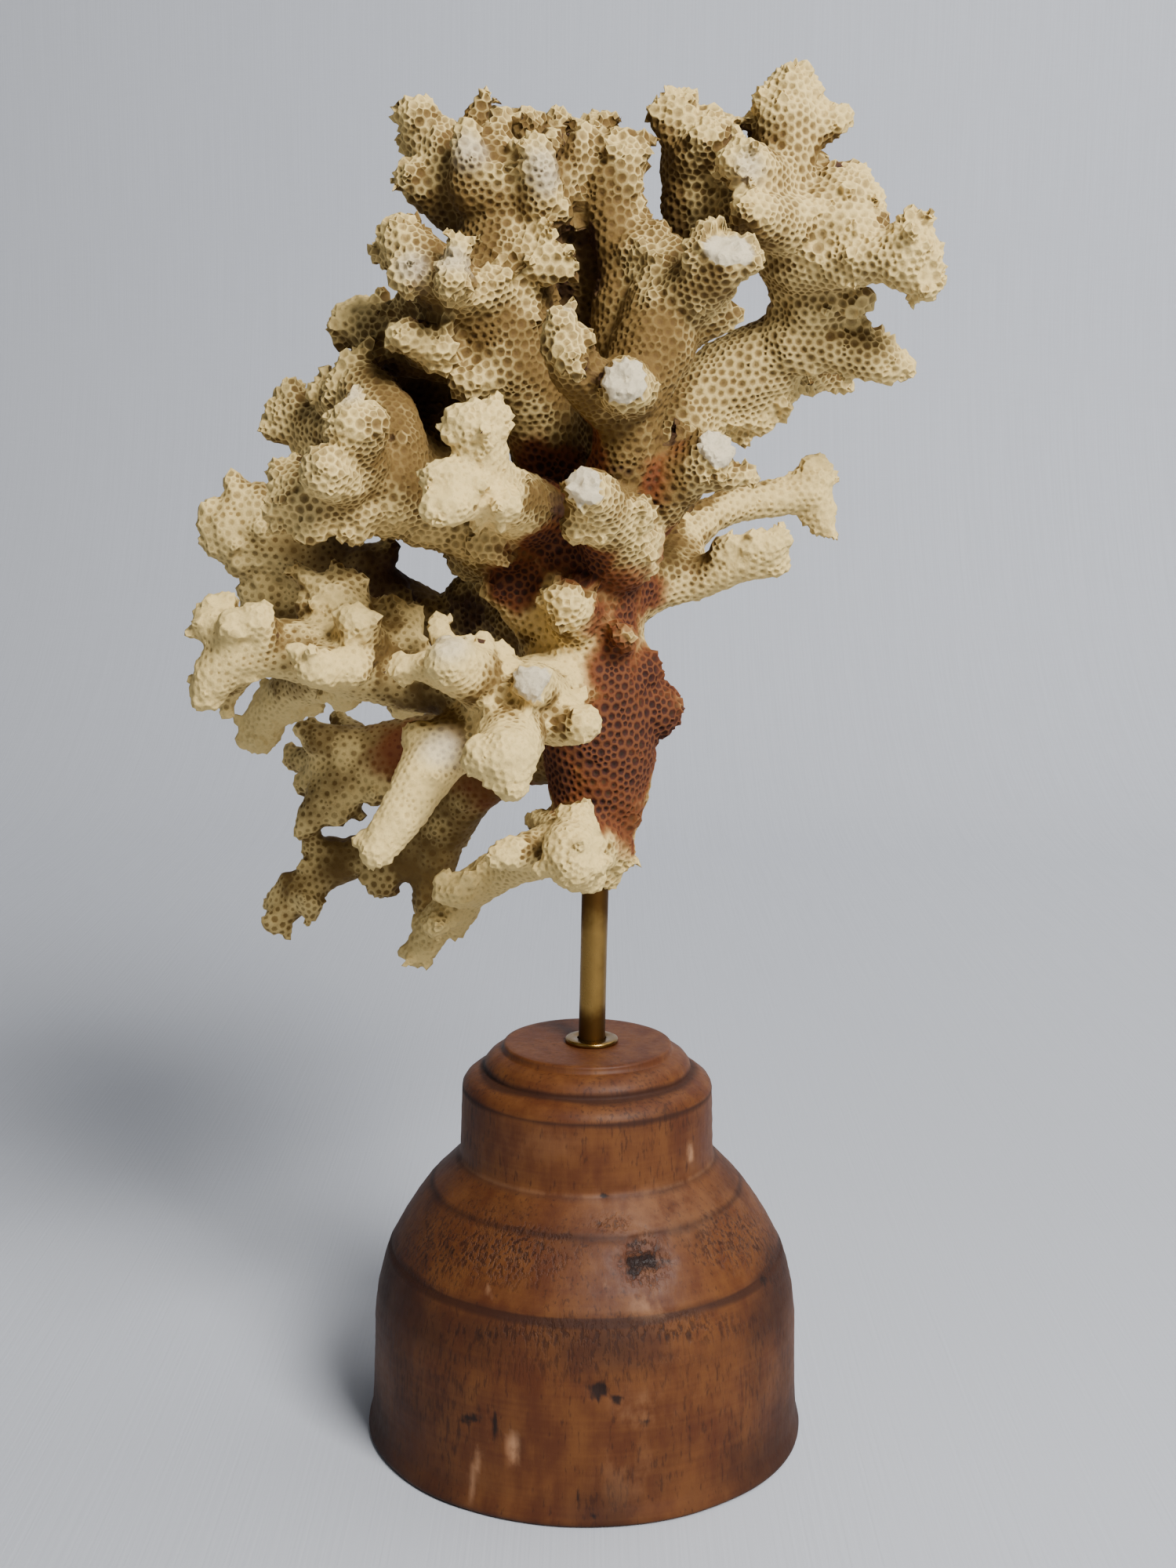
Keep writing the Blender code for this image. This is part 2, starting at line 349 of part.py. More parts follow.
        "top_spur": ((985, 187, -8, 4.4), (966, 160, -10, 2.6), (954, 149, -11, 1.5)),
        "top_finger": ((1015, 177, -6, 4.6), (1048, 163, -6, 3.2), (1075, 149, -6, 2.5)),
        "top_finger_nub": ((1045, 166, -6, 2.5), (1071, 168, -6, 1.5)),
        "front_bump": ((1000, 287, 0, 6.0), (967, 276, 6, 4.4), (952, 270, 8, 3.4)),
        "second_front_bump": ((985, 237, -2, 5.4), (955, 214, 3, 5.0), (938, 206, 5, 4.0)),
        "web": ((968, 272, -6, 6.2), (930, 268, -11, 5.6)),
        "dark_stem": ((888, 312, -14, 5.4), (884, 268, -14, 6.0), (880, 215, -12, 5.6),
            (870, 170, -11, 4.2), (866, 137, -11, 3.4)),
        "dark_web": ((930, 268, -11, 5.6), (895, 262, -13, 5.4)),
        "dark_stem_left": ((865, 142, -11, 2.8), (854, 121, -11, 1.7)),
        "dark_stem_right": ((866, 142, -11, 2.8), (880, 123, -11, 2.1)),
        "dark_stem_nub": ((865, 174, -11, 3.8), (843, 149, -11, 2.6), (837, 141, -11, 1.9)),
        "dark_lobe": ((885, 200, -9, 5.0), (906, 182, -6, 4.4)),
        "dark_finger": ((900, 186, -8, 3.8), (918, 169, -9, 3.0), (934, 161, -10, 2.1)),
        "dark_top_finger": ((896, 178, -9, 3.4), (900, 147, -10, 2.1)),
    },
    "coral_rear_low_limb": {
        "stem": ((768, 905, -6, 8.0), (765, 890, -24, 6.6), (755, 905, -36, 5.4)),
        "left_tip": ((755, 903, -35, 4.8), (728, 930, -48, 4.0), (715, 940, -54, 2.8)),
        "right_tip": ((762, 895, -34, 4.8), (782, 872, -50, 4.0), (780, 850, -56, 2.6)),
        "under_tip": ((755, 905, -36, 4.6), (765, 940, -50, 3.6)),
        "upper_tip": ((760, 895, -34, 4.4), (740, 865, -46, 3.4)),
        "left_knob": ((728, 930, -46, 3.8), (706, 912, -52, 2.8)),
        "right_knob": ((782, 872, -46, 4.0), (806, 880, -52, 3.0)),
        "side_arm": ((765, 892, -26, 5.2), (800, 905, -34, 4.0), (812, 915, -40, 2.6)),
    },
    "coral_rear_middle_limb": {
        "stem": ((740, 715, -6, 8.4), (732, 690, -26, 7.2), (722, 662, -40, 6.4)),
        "left_tip": ((722, 662, -40, 5.4), (690, 645, -54, 4.4), (676, 630, -60, 3.0)),
        "upper_tip": ((724, 660, -40, 5.4), (745, 620, -56, 4.4), (750, 596, -62, 3.0)),
        "under_tip": ((722, 668, -38, 5.0), (700, 700, -54, 3.8)),
        "right_tip": ((726, 665, -40, 5.0), (765, 665, -54, 4.0), (780, 672, -60, 2.6)),
        "top_tip": ((720, 655, -42, 5.0), (716, 605, -50, 4.0)),
        "left_knob": ((690, 645, -52, 4.2), (668, 668, -56, 3.0)),
        "upper_knob": ((745, 622, -54, 4.2), (772, 608, -60, 3.0)),
        "right_knob": ((765, 665, -52, 4.0), (788, 690, -56, 3.0)),
        "side_arm": ((730, 680, -26, 6.0), (690, 690, -36, 4.6), (668, 702, -42, 3.2)),
    },
    "coral_rear_upper_limb": {
        "stem": ((655, 470, -4, 8.6), (655, 440, -24, 7.0), (650, 405, -38, 6.2)),
        "left_tip": ((650, 405, -38, 5.4), (618, 385, -52, 4.2), (605, 372, -58, 2.8)),
        "upper_tip": ((652, 402, -38, 5.4), (664, 355, -54, 4.4), (668, 335, -60, 3.0)),
        "right_tip": ((655, 410, -38, 5.0), (692, 405, -52, 4.0)),
        "under_tip": ((648, 415, -36, 5.0), (630, 445, -50, 4.0), (618, 455, -56, 2.8)),
        "top_tip": ((650, 400, -36, 5.0), (642, 335, -46, 4.2), (634, 315, -48, 2.8)),
        "upper_knob": ((664, 355, -52, 4.2), (690, 340, -56, 3.0)),
        "right_knob": ((692, 405, -50, 4.0), (705, 430, -56, 3.0)),
        "low_arm": ((655, 430, -26, 5.6), (625, 480, -34, 4.4), (612, 505, -38, 3.2)),
        "low_right_arm": ((650, 440, -22, 6.0), (690, 470, -34, 4.6), (700, 490, -42, 3.4)),
    },
}

# Limbs that touch at a fork: the later one is fitted to the earlier one.
BUILD_ORDER = list(LIMBS)

CORAL_LOOK = {
    "coral_trunk": (0.47, 0.27, 0.15),
    "coral_lower_left_limb": (0.72, 0.60, 0.42),
    "coral_lower_front_limb": (0.74, 0.64, 0.47),
    "coral_right_arms": (0.76, 0.67, 0.52),
}
CORAL_COLOUR = (0.74, 0.62, 0.44)
WOOD_COLOUR = (0.33, 0.15, 0.07)
BRASS_COLOUR = (0.55, 0.40, 0.17)


def base_profile():
    """Outline of the turned base from its bore floor out over the top and down its side."""
    bore = ROD_RADIUS + GAP
    top = BASE_HEIGHT
    rows = [
        (0.0, top - BORE_DEPTH), (bore, top - BORE_DEPTH), (bore, top),
        (BASE_TOP_RADIUS - 0.3, top), (BASE_TOP_RADIUS, top - 0.4), (BASE_TOP_RADIUS + 0.1, top - 1.3),
        (18.3, top - 2.4), (19.4, top - 3.5), (19.6, top - 4.6), (20.2, top - 5.0), (22.6, top - 6.4),
        (BASE_NECK_RADIUS, top - 8.2), (BASE_NECK_RADIUS + 0.4, 54.8), (BASE_NECK_RADIUS + 0.9, 53.9),
        (28.2, 50.0), (33.0, 44.1), (35.2, 40.6), (37.1, 37.0), (38.6, 33.0), (39.7, 28.5),
        (40.3, 23.5), (BASE_SHOULDER_RADIUS, 9.0), (41.0, 4.0), (BASE_FOOT_RADIUS, 1.1),
        (BASE_FOOT_RADIUS, 0.4), (BASE_FOOT_RADIUS - 0.5, 0.0), (0.0, 0.0),
    ]
    return [(radius * MM, height * MM) for radius, height in rows]


def clear_scene():
    """Removes whatever the new file starts with."""
    for obj in list(bpy.data.objects):
        bpy.data.objects.remove(obj, do_unlink=True)


def make_material(name, colour, roughness, metallic=0.0):
    """One plain Principled material."""
    mat = bpy.data.materials.new(name)
    mat.use_nodes = True
    shader = mat.node_tree.nodes["Principled BSDF"]
    shader.inputs["Base Color"].default_value = (*colour, 1.0)
    shader.inputs["Roughness"].default_value = roughness
    shader.inputs["Metallic"].default_value = metallic
    mat.diffuse_color = (*colour, 1.0)
    return mat


def add_object(name, mesh, collection, mat=None):
    """A new object in its collection."""
    obj = bpy.data.objects.new(name, mesh)
    collection.objects.link(obj)
    if mat:
        mesh.materials.clear()
        mesh.materials.append(mat)
    return obj


def sight_axes():
    """The viewer's forward, right and up directions."""
    pitch = math.radians(EYE_PITCH_DEG)
    roll = math.radians(EYE_ROLL_DEG)
    forward = Vector((0.0, math.cos(pitch), -math.sin(pitch)))
    level_up = Vector((0.0, math.sin(pitch), math.cos(pitch)))
    level_right = Vector((1.0, 0.0, 0.0))
    right = level_right * math.cos(roll) + level_up * math.sin(roll)
    up = level_up * math.cos(roll) - level_right * math.sin(roll)
    return forward, right, up


def station_point(across, down, toward):
    """The place in metres of a station seen at (across, down) and standing toward the viewer."""
    forward, right, up = sight_axes()
    eye = Vector((EYE_ACROSS, -EYE_BACK, EYE_HEIGHT))
    ray = forward + right * ((across - CENTRE_ACROSS) / FOCAL) - up * ((down - CENTRE_DOWN) / FOCAL)
    reach = (-toward - eye.y) / ray.y
    return (eye + ray * reach) * MM


def add_ball(bm, centre, radius):
    """A ball at a station."""
    bmesh.ops.create_icosphere(bm, subdivisions=BALL_CUTS, radius=radius, matrix=Matrix.Translation(centre))


def add_taper(bm, start, end, start_radius, end_radius):
    """A tapered length of branch between two stations."""
    line = end - start
    turn = line.to_track_quat("Z", "Y").to_matrix().to_4x4()
    place = Matrix.Translation((start + end) / 2) @ turn
    bmesh.ops.create_cone(bm, cap_ends=True, segments=BRANCH_SIDES, radius1=start_radius,
                          radius2=end_radius, depth=line.length, matrix=place)


def limb_mesh(name, branches):
    """All the balls and tapers of one limb, still overlapping."""
    bm = bmesh.new()
    for stations in branches.values():
        points = [station_point(*row[:3]) for row in stations]
        radii = [row[3] * MM for row in stations]
        for point, radius in zip(points, radii):
            add_ball(bm, point, radius)
        for here in range(len(points) - 1):
            add_taper(bm, points[here], points[here + 1], radii[here], radii[here + 1])
    mesh = bpy.data.meshes.new(name)
    bm.to_mesh(mesh)
    bm.free()
    return mesh


def settle(obj):
    """Turns an object's modifiers into its mesh."""
    graph = bpy.context.evaluated_depsgraph_get()
    graph.update()
    mesh = bpy.data.meshes.new_from_object(obj.evaluated_get(graph))
    obj.modifiers.clear()
    obj.data = mesh
    return mesh


def surface_area(mesh):
    """Area of a mesh in square millimetres."""
    return sum(face.area for face in mesh.polygons) / MM ** 2


def grow_skin(obj):
    """Joins a limb's balls and tapers into one smooth skin with a sensible number of faces."""
    skin = obj.modifiers.new("Skin", "REMESH")
    skin.mode = "VOXEL"
    skin.voxel_size = SKIN_VOXEL * MM
    soften = obj.modifiers.new("Soften", "SMOOTH")
    soften.factor = 0.5
    soften.iterations = SKIN_SMOOTHING
    plump = obj.modifiers.new("Plump", "DISPLACE")
    plump.strength = SKIN_PLUMP * MM
    plump.mid_level = 0.0
    mesh = settle(obj)
    wanted = surface_area(mesh) / TRIANGLE_AREA
    thin = obj.modifiers.new("Thin", "DECIMATE")
    thin.ratio = min(1.0, wanted / (2.0 * len(mesh.polygons)))
    thin.use_collapse_triangulate = True
    settle(obj)


def keep_largest(obj):
    """Leaves only the largest connected part of a cut limb."""
    bm = bmesh.new()
    bm.from_mesh(obj.data)
    bm.verts.ensure_lookup_table()
    seen, parts = set(), []
    for vert in bm.verts:
        if vert.index in seen:
            continue
        stack, part = [vert], []
        seen.add(vert.index)
        while stack:
            here = stack.pop()
            part.append(here)
            for edge in here.link_edges:
                other = edge.other_vert(here)
                if other.index not in seen:
                    seen.add(other.index)
                    stack.append(other)
        parts.append(part)
    parts.sort(key=len)
    loose = [vert for part in parts[:-1] for vert in part]
    if loose:
        bmesh.ops.delete(bm, geom=loose, context="VERTS")
    bmesh.ops.triangulate(bm, faces=bm.faces[:])
    bmesh.ops.recalc_face_normals(bm, faces=bm.faces[:])
    bm.to_mesh(obj.data)
    bm.free()


def cut_away(obj, cutter):
    """Cuts one object by another with the exact solver."""
    cut = obj.modifiers.new("Fit", "BOOLEAN")
    cut.operation = "DIFFERENCE"
    cut.solver = "EXACT"
    cut.use_self = True
    cut.object = cutter
    settle(obj)


def fat_copy(obj, collection):
    """A neighbour grown by the gap, to fit a limb to it."""
    cutter = add_object("grown_" + obj.name, obj.data.copy(), collection)
    grow = cutter.modifiers.new("Grow", "DISPLACE")
    grow.strength = GAP * MM * FIT_SHARE
    grow.mid_level = 0.0
    settle(cutter)
    cutter.hide_render = True
    cutter.display_type = "WIRE"
    return cutter


def boxes_touch(first, second):
    """Whether the bounding boxes of two meshes meet."""
    def span(mesh):
        low = Vector([min(v.co[k] for v in mesh.vertices) for k in range(3)])
        high = Vector([max(v.co[k] for v in mesh.vertices) for k in range(3)])
        return low, high
    (low_a, high_a), (low_b, high_b) = span(first), span(second)
    return all(low_a[k] < high_b[k] + MM and low_b[k] < high_a[k] + MM for k in range(3))


def rod_axis():
    """The foot of the rod and its direction."""
    lean = math.radians(ROD_LEAN_DEG)
    foot = Vector((ROD_SHIFT * MM, 0.0, (BASE_HEIGHT - BORE_DEPTH + GAP) * MM))
    return foot, Vector((math.sin(lean), 0.0, math.cos(lean)))


def round_bar(name, radius, length, start, direction, collection, mat=None):
    """A round bar from a start point along a direction."""
    bm = bmesh.new()
    turn = direction.to_track_quat("Z", "Y").to_matrix().to_4x4()
    place = Matrix.Translation(start + direction * (length / 2)) @ turn
    bmesh.ops.create_cone(bm, cap_ends=True, segments=BAR_SIDES, radius1=radius, radius2=radius,
                          depth=length, matrix=place)
    mesh = bpy.data.meshes.new(name)
    bm.to_mesh(mesh)
    bm.free()
    return add_object(name, mesh, collection, mat)


def turned(name, rows, steps, collection, mat):
    """A shape turned on the vertical axis from its outline."""
    mesh = bpy.data.meshes.new(name)
    mesh.from_pydata([(radius, 0.0, height) for radius, height in rows],
                     [(k, k + 1) for k in range(len(rows) - 1)], [])
    obj = add_object(name, mesh, collection, mat)
    turn = obj.modifiers.new("Turn", "SCREW")
    turn.steps = steps
    turn.render_steps = steps
    turn.use_merge_vertices = True
    turn.merge_threshold = 0.00001
    return obj


def move_origin(obj, point):
    """Puts an object's origin at a point without moving its surface."""
    obj.data.transform(Matrix.Translation(-point))
    obj.location = point


def build_stand(collection, cutters):
    """The wooden base, the washer and the rod."""
    wood = make_material("turned_wood", WOOD_COLOUR, 0.5)
    brass = make_material("brass", BRASS_COLOUR, 0.35, 1.0)
    base = turned("wooden_base", base_profile(), BASE_TURN_STEPS, collection, wood)
    foot, direction = rod_axis()
    length = (ROD_TOP * MM - foot.z) / direction.z
    rod = round_bar("brass_rod", ROD_RADIUS * MM, length, foot, direction, collection, brass)
    inner = (ROD_RADIUS + GAP) * MM
    drill = round_bar("rod_hole_drill", inner, length + DRILL_EXTRA * MM,
                      foot - direction * (DRILL_START * MM), direction, cutters)
    drill.hide_render = True
    drill.display_type = "WIRE"
    settle(base)
    cut_away(base, drill)
    outer = WASHER_RADIUS * MM
    low = (BASE_HEIGHT + WASHER_CLEARANCE) * MM
    high = low + WASHER_THICKNESS * MM
    edge = WASHER_EDGE * MM
    ring = [(inner, high), (outer - edge, high), (outer, high - edge), (outer, low), (inner, low),
            (inner, high)]
    washer = turned("brass_washer", ring, WASHER_TURN_STEPS, collection, brass)
    settle(washer)
    move_origin(washer, Vector((0.0, 0.0, low)))
    washer.location.x = ROD_SHIFT * MM + math.sin(math.radians(ROD_LEAN_DEG)) * BORE_DEPTH * MM
    move_origin(rod, foot)
    return base, washer, rod, drill


def build_coral(collection, cutters, drill):
    """Every limb of the coral, each fitted to the limbs it springs from."""
    done = []
    for name in BUILD_ORDER:
        look = make_material(name, CORAL_LOOK.get(name, CORAL_COLOUR), 0.75)
        limb = add_object(name, limb_mesh(name, LIMBS[name]), collection)
        grow_skin(limb)
        for other in done:
            if boxes_touch(limb.data, other.data):
                cutter = fat_copy(other, cutters)
                cut_away(limb, cutter)
                bpy.data.objects.remove(cutter, do_unlink=True)
        if name == "coral_trunk":
            cut_away(limb, drill)
        keep_largest(limb)
        limb.data.materials.clear()
        limb.data.materials.append(look)
        limb.data.shade_smooth()
        done.append(limb)
    return done


def main():
    """Builds the coral and its stand, parented to one empty."""
    clear_scene()
    scene = bpy.context.scene
    whole = bpy.data.collections.new("branching_coral")
    cutters = bpy.data.collections.new("cutters")
    scene.collection.children.link(whole)
    scene.collection.children.link(cutters)
    handle = bpy.data.objects.new("branching_coral_origin", None)
    whole.objects.link(handle)
    base, washer, rod, drill = build_stand(whole, cutters)
    limbs = build_coral(whole, cutters, drill)
    for limb in limbs:
        first = next(iter(LIMBS[limb.name].values()))[0]
        move_origin(limb, station_point(*first[:3]))
    for obj in [base, washer, rod, *limbs]:
        obj.parent = handle
    for obj in (base, washer, rod):
        obj.data.shade_smooth()
        obj.data.set_sharp_from_angle(angle=math.radians(SHARP_ANGLE_DEG))


main()
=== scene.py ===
"""Dressed model of a branching coral skeleton on a brass rod in a turned wooden base.

The coral is grown from named branches, each a row of stations along its middle line. A fine
skin is drawn over them, spread with pores on an even net, worn and broken at its tips, and
split into the limbs of the solid model. The stand is turned and marked after the photograph.
"""

import logging
import math
from dataclasses import dataclass, field
from enum import Enum

import bmesh
import bpy
import numpy as np
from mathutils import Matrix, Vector, noise
from mathutils.bvhtree import BVHTree


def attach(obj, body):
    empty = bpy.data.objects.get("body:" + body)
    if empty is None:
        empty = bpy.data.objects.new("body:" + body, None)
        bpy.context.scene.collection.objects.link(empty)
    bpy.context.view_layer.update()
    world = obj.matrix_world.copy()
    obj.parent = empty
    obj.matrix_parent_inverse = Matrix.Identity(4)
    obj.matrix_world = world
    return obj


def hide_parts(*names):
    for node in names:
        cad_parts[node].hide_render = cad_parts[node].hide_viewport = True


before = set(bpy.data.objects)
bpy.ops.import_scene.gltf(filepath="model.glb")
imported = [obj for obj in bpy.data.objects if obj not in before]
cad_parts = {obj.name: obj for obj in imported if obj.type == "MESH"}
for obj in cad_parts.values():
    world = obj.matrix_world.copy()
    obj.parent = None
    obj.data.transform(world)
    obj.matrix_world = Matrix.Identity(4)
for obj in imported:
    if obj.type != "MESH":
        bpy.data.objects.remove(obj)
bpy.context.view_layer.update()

MM = 0.001
ROOT_BODY = "root"
LOG = logging.getLogger("coral")

# Every station is (across, down) in the photographed view, how far it stands towards the
# viewer in millimetres, and the branch's radius there in millimetres.
LIMBS = {
    "coral_trunk": {
        "shaft": ((765, 1112, 0, 4.3), (763, 1062, 0, 7.3), (764, 1000, 0, 9.9), (764, 940, 0, 11.2),
            (755, 880, 0, 11.8), (740, 820, 0, 11.8), (738, 760, 0, 12.6), (742, 705, 0, 12.0),
            (738, 665, 0, 10.5)),
        "crown_root": ((738, 665, 0, 10.5), (722, 640, -3, 8.6)),
        "centre_root": ((750, 690, 2, 10.5), (786, 640, 7, 7.8)),
        "lower_left_root": ((705, 925, -10, 8.5), (655, 930, -18, 6.4)),
        "upper_left_root": ((700, 740, -8, 9.0), (645, 735, -14, 7.0)),
        "rear_left_root": ((700, 795, -9, 8.5), (640, 790, -15, 6.6)),
        "front_knob": ((738, 792, 9, 5.5), (722, 768, 17, 4.4)),
        "small_knob": ((785, 822, 8, 3.6), (800, 812, 13, 2.4)),
        "ragged_edge": ((830, 902, 0, 6.0), (852, 905, 1, 3.0), (863, 907, 1, 1.2)),
        "edge_bump": ((812, 856, 2, 5.0), (831, 856, 2, 2.2)),
        "left_nub": ((690, 790, 4, 6.0), (655, 768, 6, 3.6), (624, 753, 6, 2.2)),
        "front_stub": ((790, 700, 9, 8.0), (780, 668, 17, 6.4), (762, 640, 26, 5.0), (746, 621, 32, 3.6)),
        "stub_left_knob": ((762, 662, 21, 4.8), (737, 668, 25, 3.4)),
        "stub_right_knob": ((780, 660, 19, 5.4), (808, 655, 19, 4.2)),
        "stub_neck": ((795, 695, 12, 6.0), (815, 690, 11, 4.2)),
        "right_front_finger": ((795, 665, 4, 8.0), (838, 628, 8, 6.6), (880, 597, 12, 5.4),
            (910, 576, 16, 4.0)),
        "right_front_tip": ((880, 603, 12, 4.4), (928, 606, 13, 3.0), (958, 607, 13, 2.0)),
        "right_front_spur": ((868, 590, 9, 4.6), (878, 557, 8, 2.6)),
        "foot_lip": ((780, 1080, 2, 5.0), (790, 1098, 2, 2.6)),
    },
    "coral_centre_limb": {
        "stem": ((786, 640, 7, 7.6), (800, 580, 12, 6.4), (802, 535, 14, 6.0), (812, 485, 15, 7.0),
            (832, 440, 14, 7.6), (850, 395, 12, 7.6), (858, 350, 9, 6.6)),
        "broken_stub": ((805, 500, 17, 5.8), (797, 490, 29, 4.7)),
        "left_finger": ((795, 530, 14, 5.6), (760, 495, 20, 5.2), (732, 468, 25, 4.8),
            (718, 440, 28, 4.2), (711, 408, 30, 2.5)),
        "left_finger_inner": ((728, 455, 27, 3.4), (738, 425, 27, 2.0)),
        "left_finger_outer": ((732, 470, 27, 3.2), (727, 455, 31, 2.9)),
        "right_stub": ((852, 395, 12, 6.5), (895, 360, 18, 5.4), (925, 330, 22, 5.0), (945, 322, 22, 3.8)),
        "right_stub_bud": ((905, 335, 20, 4.0), (900, 300, 22, 2.8)),
        "right_stub_lip": ((930, 335, 20, 4.2), (958, 332, 20, 2.8)),
        "right_stub_root": ((900, 358, 16, 4.6), (912, 370, 16, 3.6)),
        "low_right_finger": ((870, 410, 10, 5.6), (915, 402, 12, 3.7), (937, 400, 12, 2.3)),
        "rear_stem": ((808, 500, 9, 6.4), (800, 440, 6, 6.8), (800, 380, 4, 6.6),
            (806, 330, 4, 5.6), (798, 280, 2, 4.7), (785, 235, 0, 4.2)),
        "rear_stem_tip": ((785, 235, -1, 4.2), (765, 195, -2, 3.8), (757, 168, -2, 3.2)),
        "tip_left": ((757, 170, -2, 3.0), (747, 155, -2, 1.8)),
        "tip_right": ((757, 170, -2, 3.0), (766, 154, -2, 1.9)),
        "upper_bud": ((784, 262, 3, 4.4), (794, 222, 5, 3.8), (800, 195, 5, 3.2)),
        "bud_left": ((797, 190, 4, 2.6), (789, 168, 4, 1.6)),
        "bud_right": ((801, 190, 4, 2.8), (816, 174, 4, 1.8)),
        "left_flank": ((792, 330, 4, 4.8), (778, 270, 4, 4.4), (768, 215, 4, 3.6), (765, 188, 4, 2.6)),
        "bud_side": ((800, 205, 4, 3.0), (820, 212, 3, 1.8)),
        "side_spur": ((790, 268, 3, 4.0), (811, 258, 4, 2.0)),
        "front_bud": ((812, 325, 6, 5.4), (832, 306, 6, 4.0), (845, 312, 6, 3.4)),
    },
    "coral_left_crown_limb": {
        "rear_web": ((745, 566, -7, 6.4), (736, 500, -7, 6.6), (748, 440, -9, 6.4),
            (746, 370, -8, 6.4), (748, 300, -3, 5.4), (742, 250, -2, 4.8), (735, 215, -2, 3.8)),
        "stem": ((722, 640, -3, 8.4), (705, 585, -2, 7.2), (690, 530, 0, 7.6), (660, 480, 2, 9.4),
            (640, 430, 3, 9.8), (638, 370, 3, 9.8), (648, 310, 1, 9.6), (650, 262, -1, 8.6)),
        "hidden_nub": ((640, 470, 6, 6.0), (602, 486, 8, 4.6)),
        "side_arm": ((620, 390, 4, 8.0), (585, 370, 10, 6.2), (550, 345, 14, 5.4), (522, 318, 15, 4.6),
            (506, 298, 14, 3.6)),
        "side_arm_tip": ((515, 305, 14, 4.0), (521, 291, 12, 3.0)),
        "side_arm_left": ((540, 330, 14, 4.6), (502, 325, 10, 3.2), (485, 325, 8, 2.2)),
        "side_arm_knob": ((545, 345, 16, 4.6), (515, 350, 18, 3.2)),
        "low_knob": ((555, 360, 10, 4.8), (525, 385, 4, 3.4), (516, 402, 2, 2.4)),
        "pale_finger": ((590, 378, 12, 4.2), (578, 350, 20, 3.3), (582, 322, 22, 2.6),
            (586, 306, 22, 1.8)),
        "pale_finger_side": ((580, 365, 18, 4.0), (574, 358, 24, 3.2)),
        "ledge_knob": ((620, 372, 12, 4.0), (612, 362, 14, 2.8)),
        "ledge_spur": ((640, 368, 11, 3.6), (638, 353, 13, 2.0)),
        "front_fan": ((665, 335, 7, 5.4), (688, 334, 10, 3.8)),
        "fan_upper": ((690, 330, 11, 2.8), (712, 324, 12, 2.0), (727, 322, 12, 1.4)),
        "fan_lower": ((690, 345, 11, 2.8), (716, 350, 12, 2.0), (735, 352, 12, 1.4)),
        "fan_top": ((688, 325, 10, 2.8), (700, 306, 11, 1.8), (704, 298, 11, 1.3)),
        "right_shelf": ((680, 280, 4, 6.0), (710, 268, 8, 3.4)),
        "right_shelf_rear": ((680, 300, 0, 6.6), (714, 292, -4, 4.4)),
        "corner_arm": ((625, 275, -2, 7.0), (582, 240, -3, 5.8), (552, 200, -3, 4.2),
            (536, 168, -2, 3.4), (531, 144, -1, 3.4)),
        "corner_lobe": ((548, 205, -5, 3.6), (523, 184, -7, 2.6)),
        "corner_left": ((532, 150, 0, 3.2), (519, 137, -1, 2.4)),
        "corner_right": ((532, 150, 0, 3.2), (545, 142, 0, 2.4)),
        "middle_left_finger": ((582, 262, -2, 5.6), (542, 236, 0, 4.4), (523, 223, 1, 3.0)),
        "middle_knob": ((575, 225, 1, 4.4), (562, 184, 1, 3.2), (566, 168, 0, 2.2)),
        "middle_spur": ((570, 192, 0, 2.4), (575, 159, -1, 1.7)),
        "pale_face": ((605, 238, 6, 5.2), (598, 205, 9, 3.8), (594, 168, 9, 2.6)),
        "top_spur": ((612, 192, -4, 4.0), (606, 152, -4, 2.6), (620, 122, -4, 1.6)),
        "centre_finger": ((630, 240, 5, 6.4), (632, 200, 6, 4.0), (634, 168, 4, 2.8),
            (640, 145, 3, 2.0)),
        "broken_ridge": ((668, 250, 6, 5.0), (668, 207, 8, 2.8), (664, 180, 8, 1.5)),
        "rear_finger": ((680, 230, -4, 5.0), (676, 182, -6, 3.4), (668, 150, -6, 2.6)),
        "rear_spur": ((676, 182, -6, 2.2), (684, 155, -6, 1.6)),
        "front_finger": ((690, 250, 8, 5.2), (688, 215, 11, 3.6), (681, 182, 12, 2.6)),
        "rear_right_finger": ((708, 238, -7, 4.8), (714, 188, -12, 3.4), (713, 152, -13, 2.6)),
        "crater_finger": ((705, 250, 3, 5.2), (728, 212, 6, 3.4), (741, 180, 7, 2.4),
            (745, 163, 6, 1.8)),
        "crater_rim": ((708, 250, 4, 4.6), (708, 208, 3, 3.0), (701, 174, 2, 2.2)),
    },
    "coral_mid_left_limb": {
        "arm": ((625, 450, -2, 7.6), (575, 446, -2, 6.4), (515, 438, -3, 6.0), (475, 420, -4, 5.4),
            (448, 410, -4, 4.0), (428, 417, -4, 2.2)),
        "end_tip": ((470, 412, -4, 4.2), (463, 389, -4, 2.5)),
        "end_bud": ((450, 410, -3, 3.2), (434, 402, -3, 2.1)),
        "upper_nub": ((500, 430, -4, 4.0), (494, 407, -5, 2.2)),
        "pale_finger": ((545, 440, 2, 5.0), (540, 436, 12, 4.0), (518, 430, 15, 3.4), (507, 425, 15, 2.4)),
        "finger_knob": ((540, 438, 10, 4.0), (562, 445, 13, 3.6)),
    },
    "coral_front_centre_limb": {
        "root": ((690, 658, 5, 7.0), (655, 642, 17, 6.2), (620, 622, 29, 5.8)),
        "upper_knob": ((618, 618, 31, 5.4), (612, 582, 35, 4.9), (608, 547, 37, 4.8)),
        "upper_left_bump": ((605, 547, 37, 3.6), (583, 531, 38, 2.7)),
        "upper_right_bump": ((610, 547, 37, 3.6), (635, 531, 37, 2.7)),
        "upper_top_bump": ((608, 542, 37, 2.8), (607, 517, 37, 1.5)),
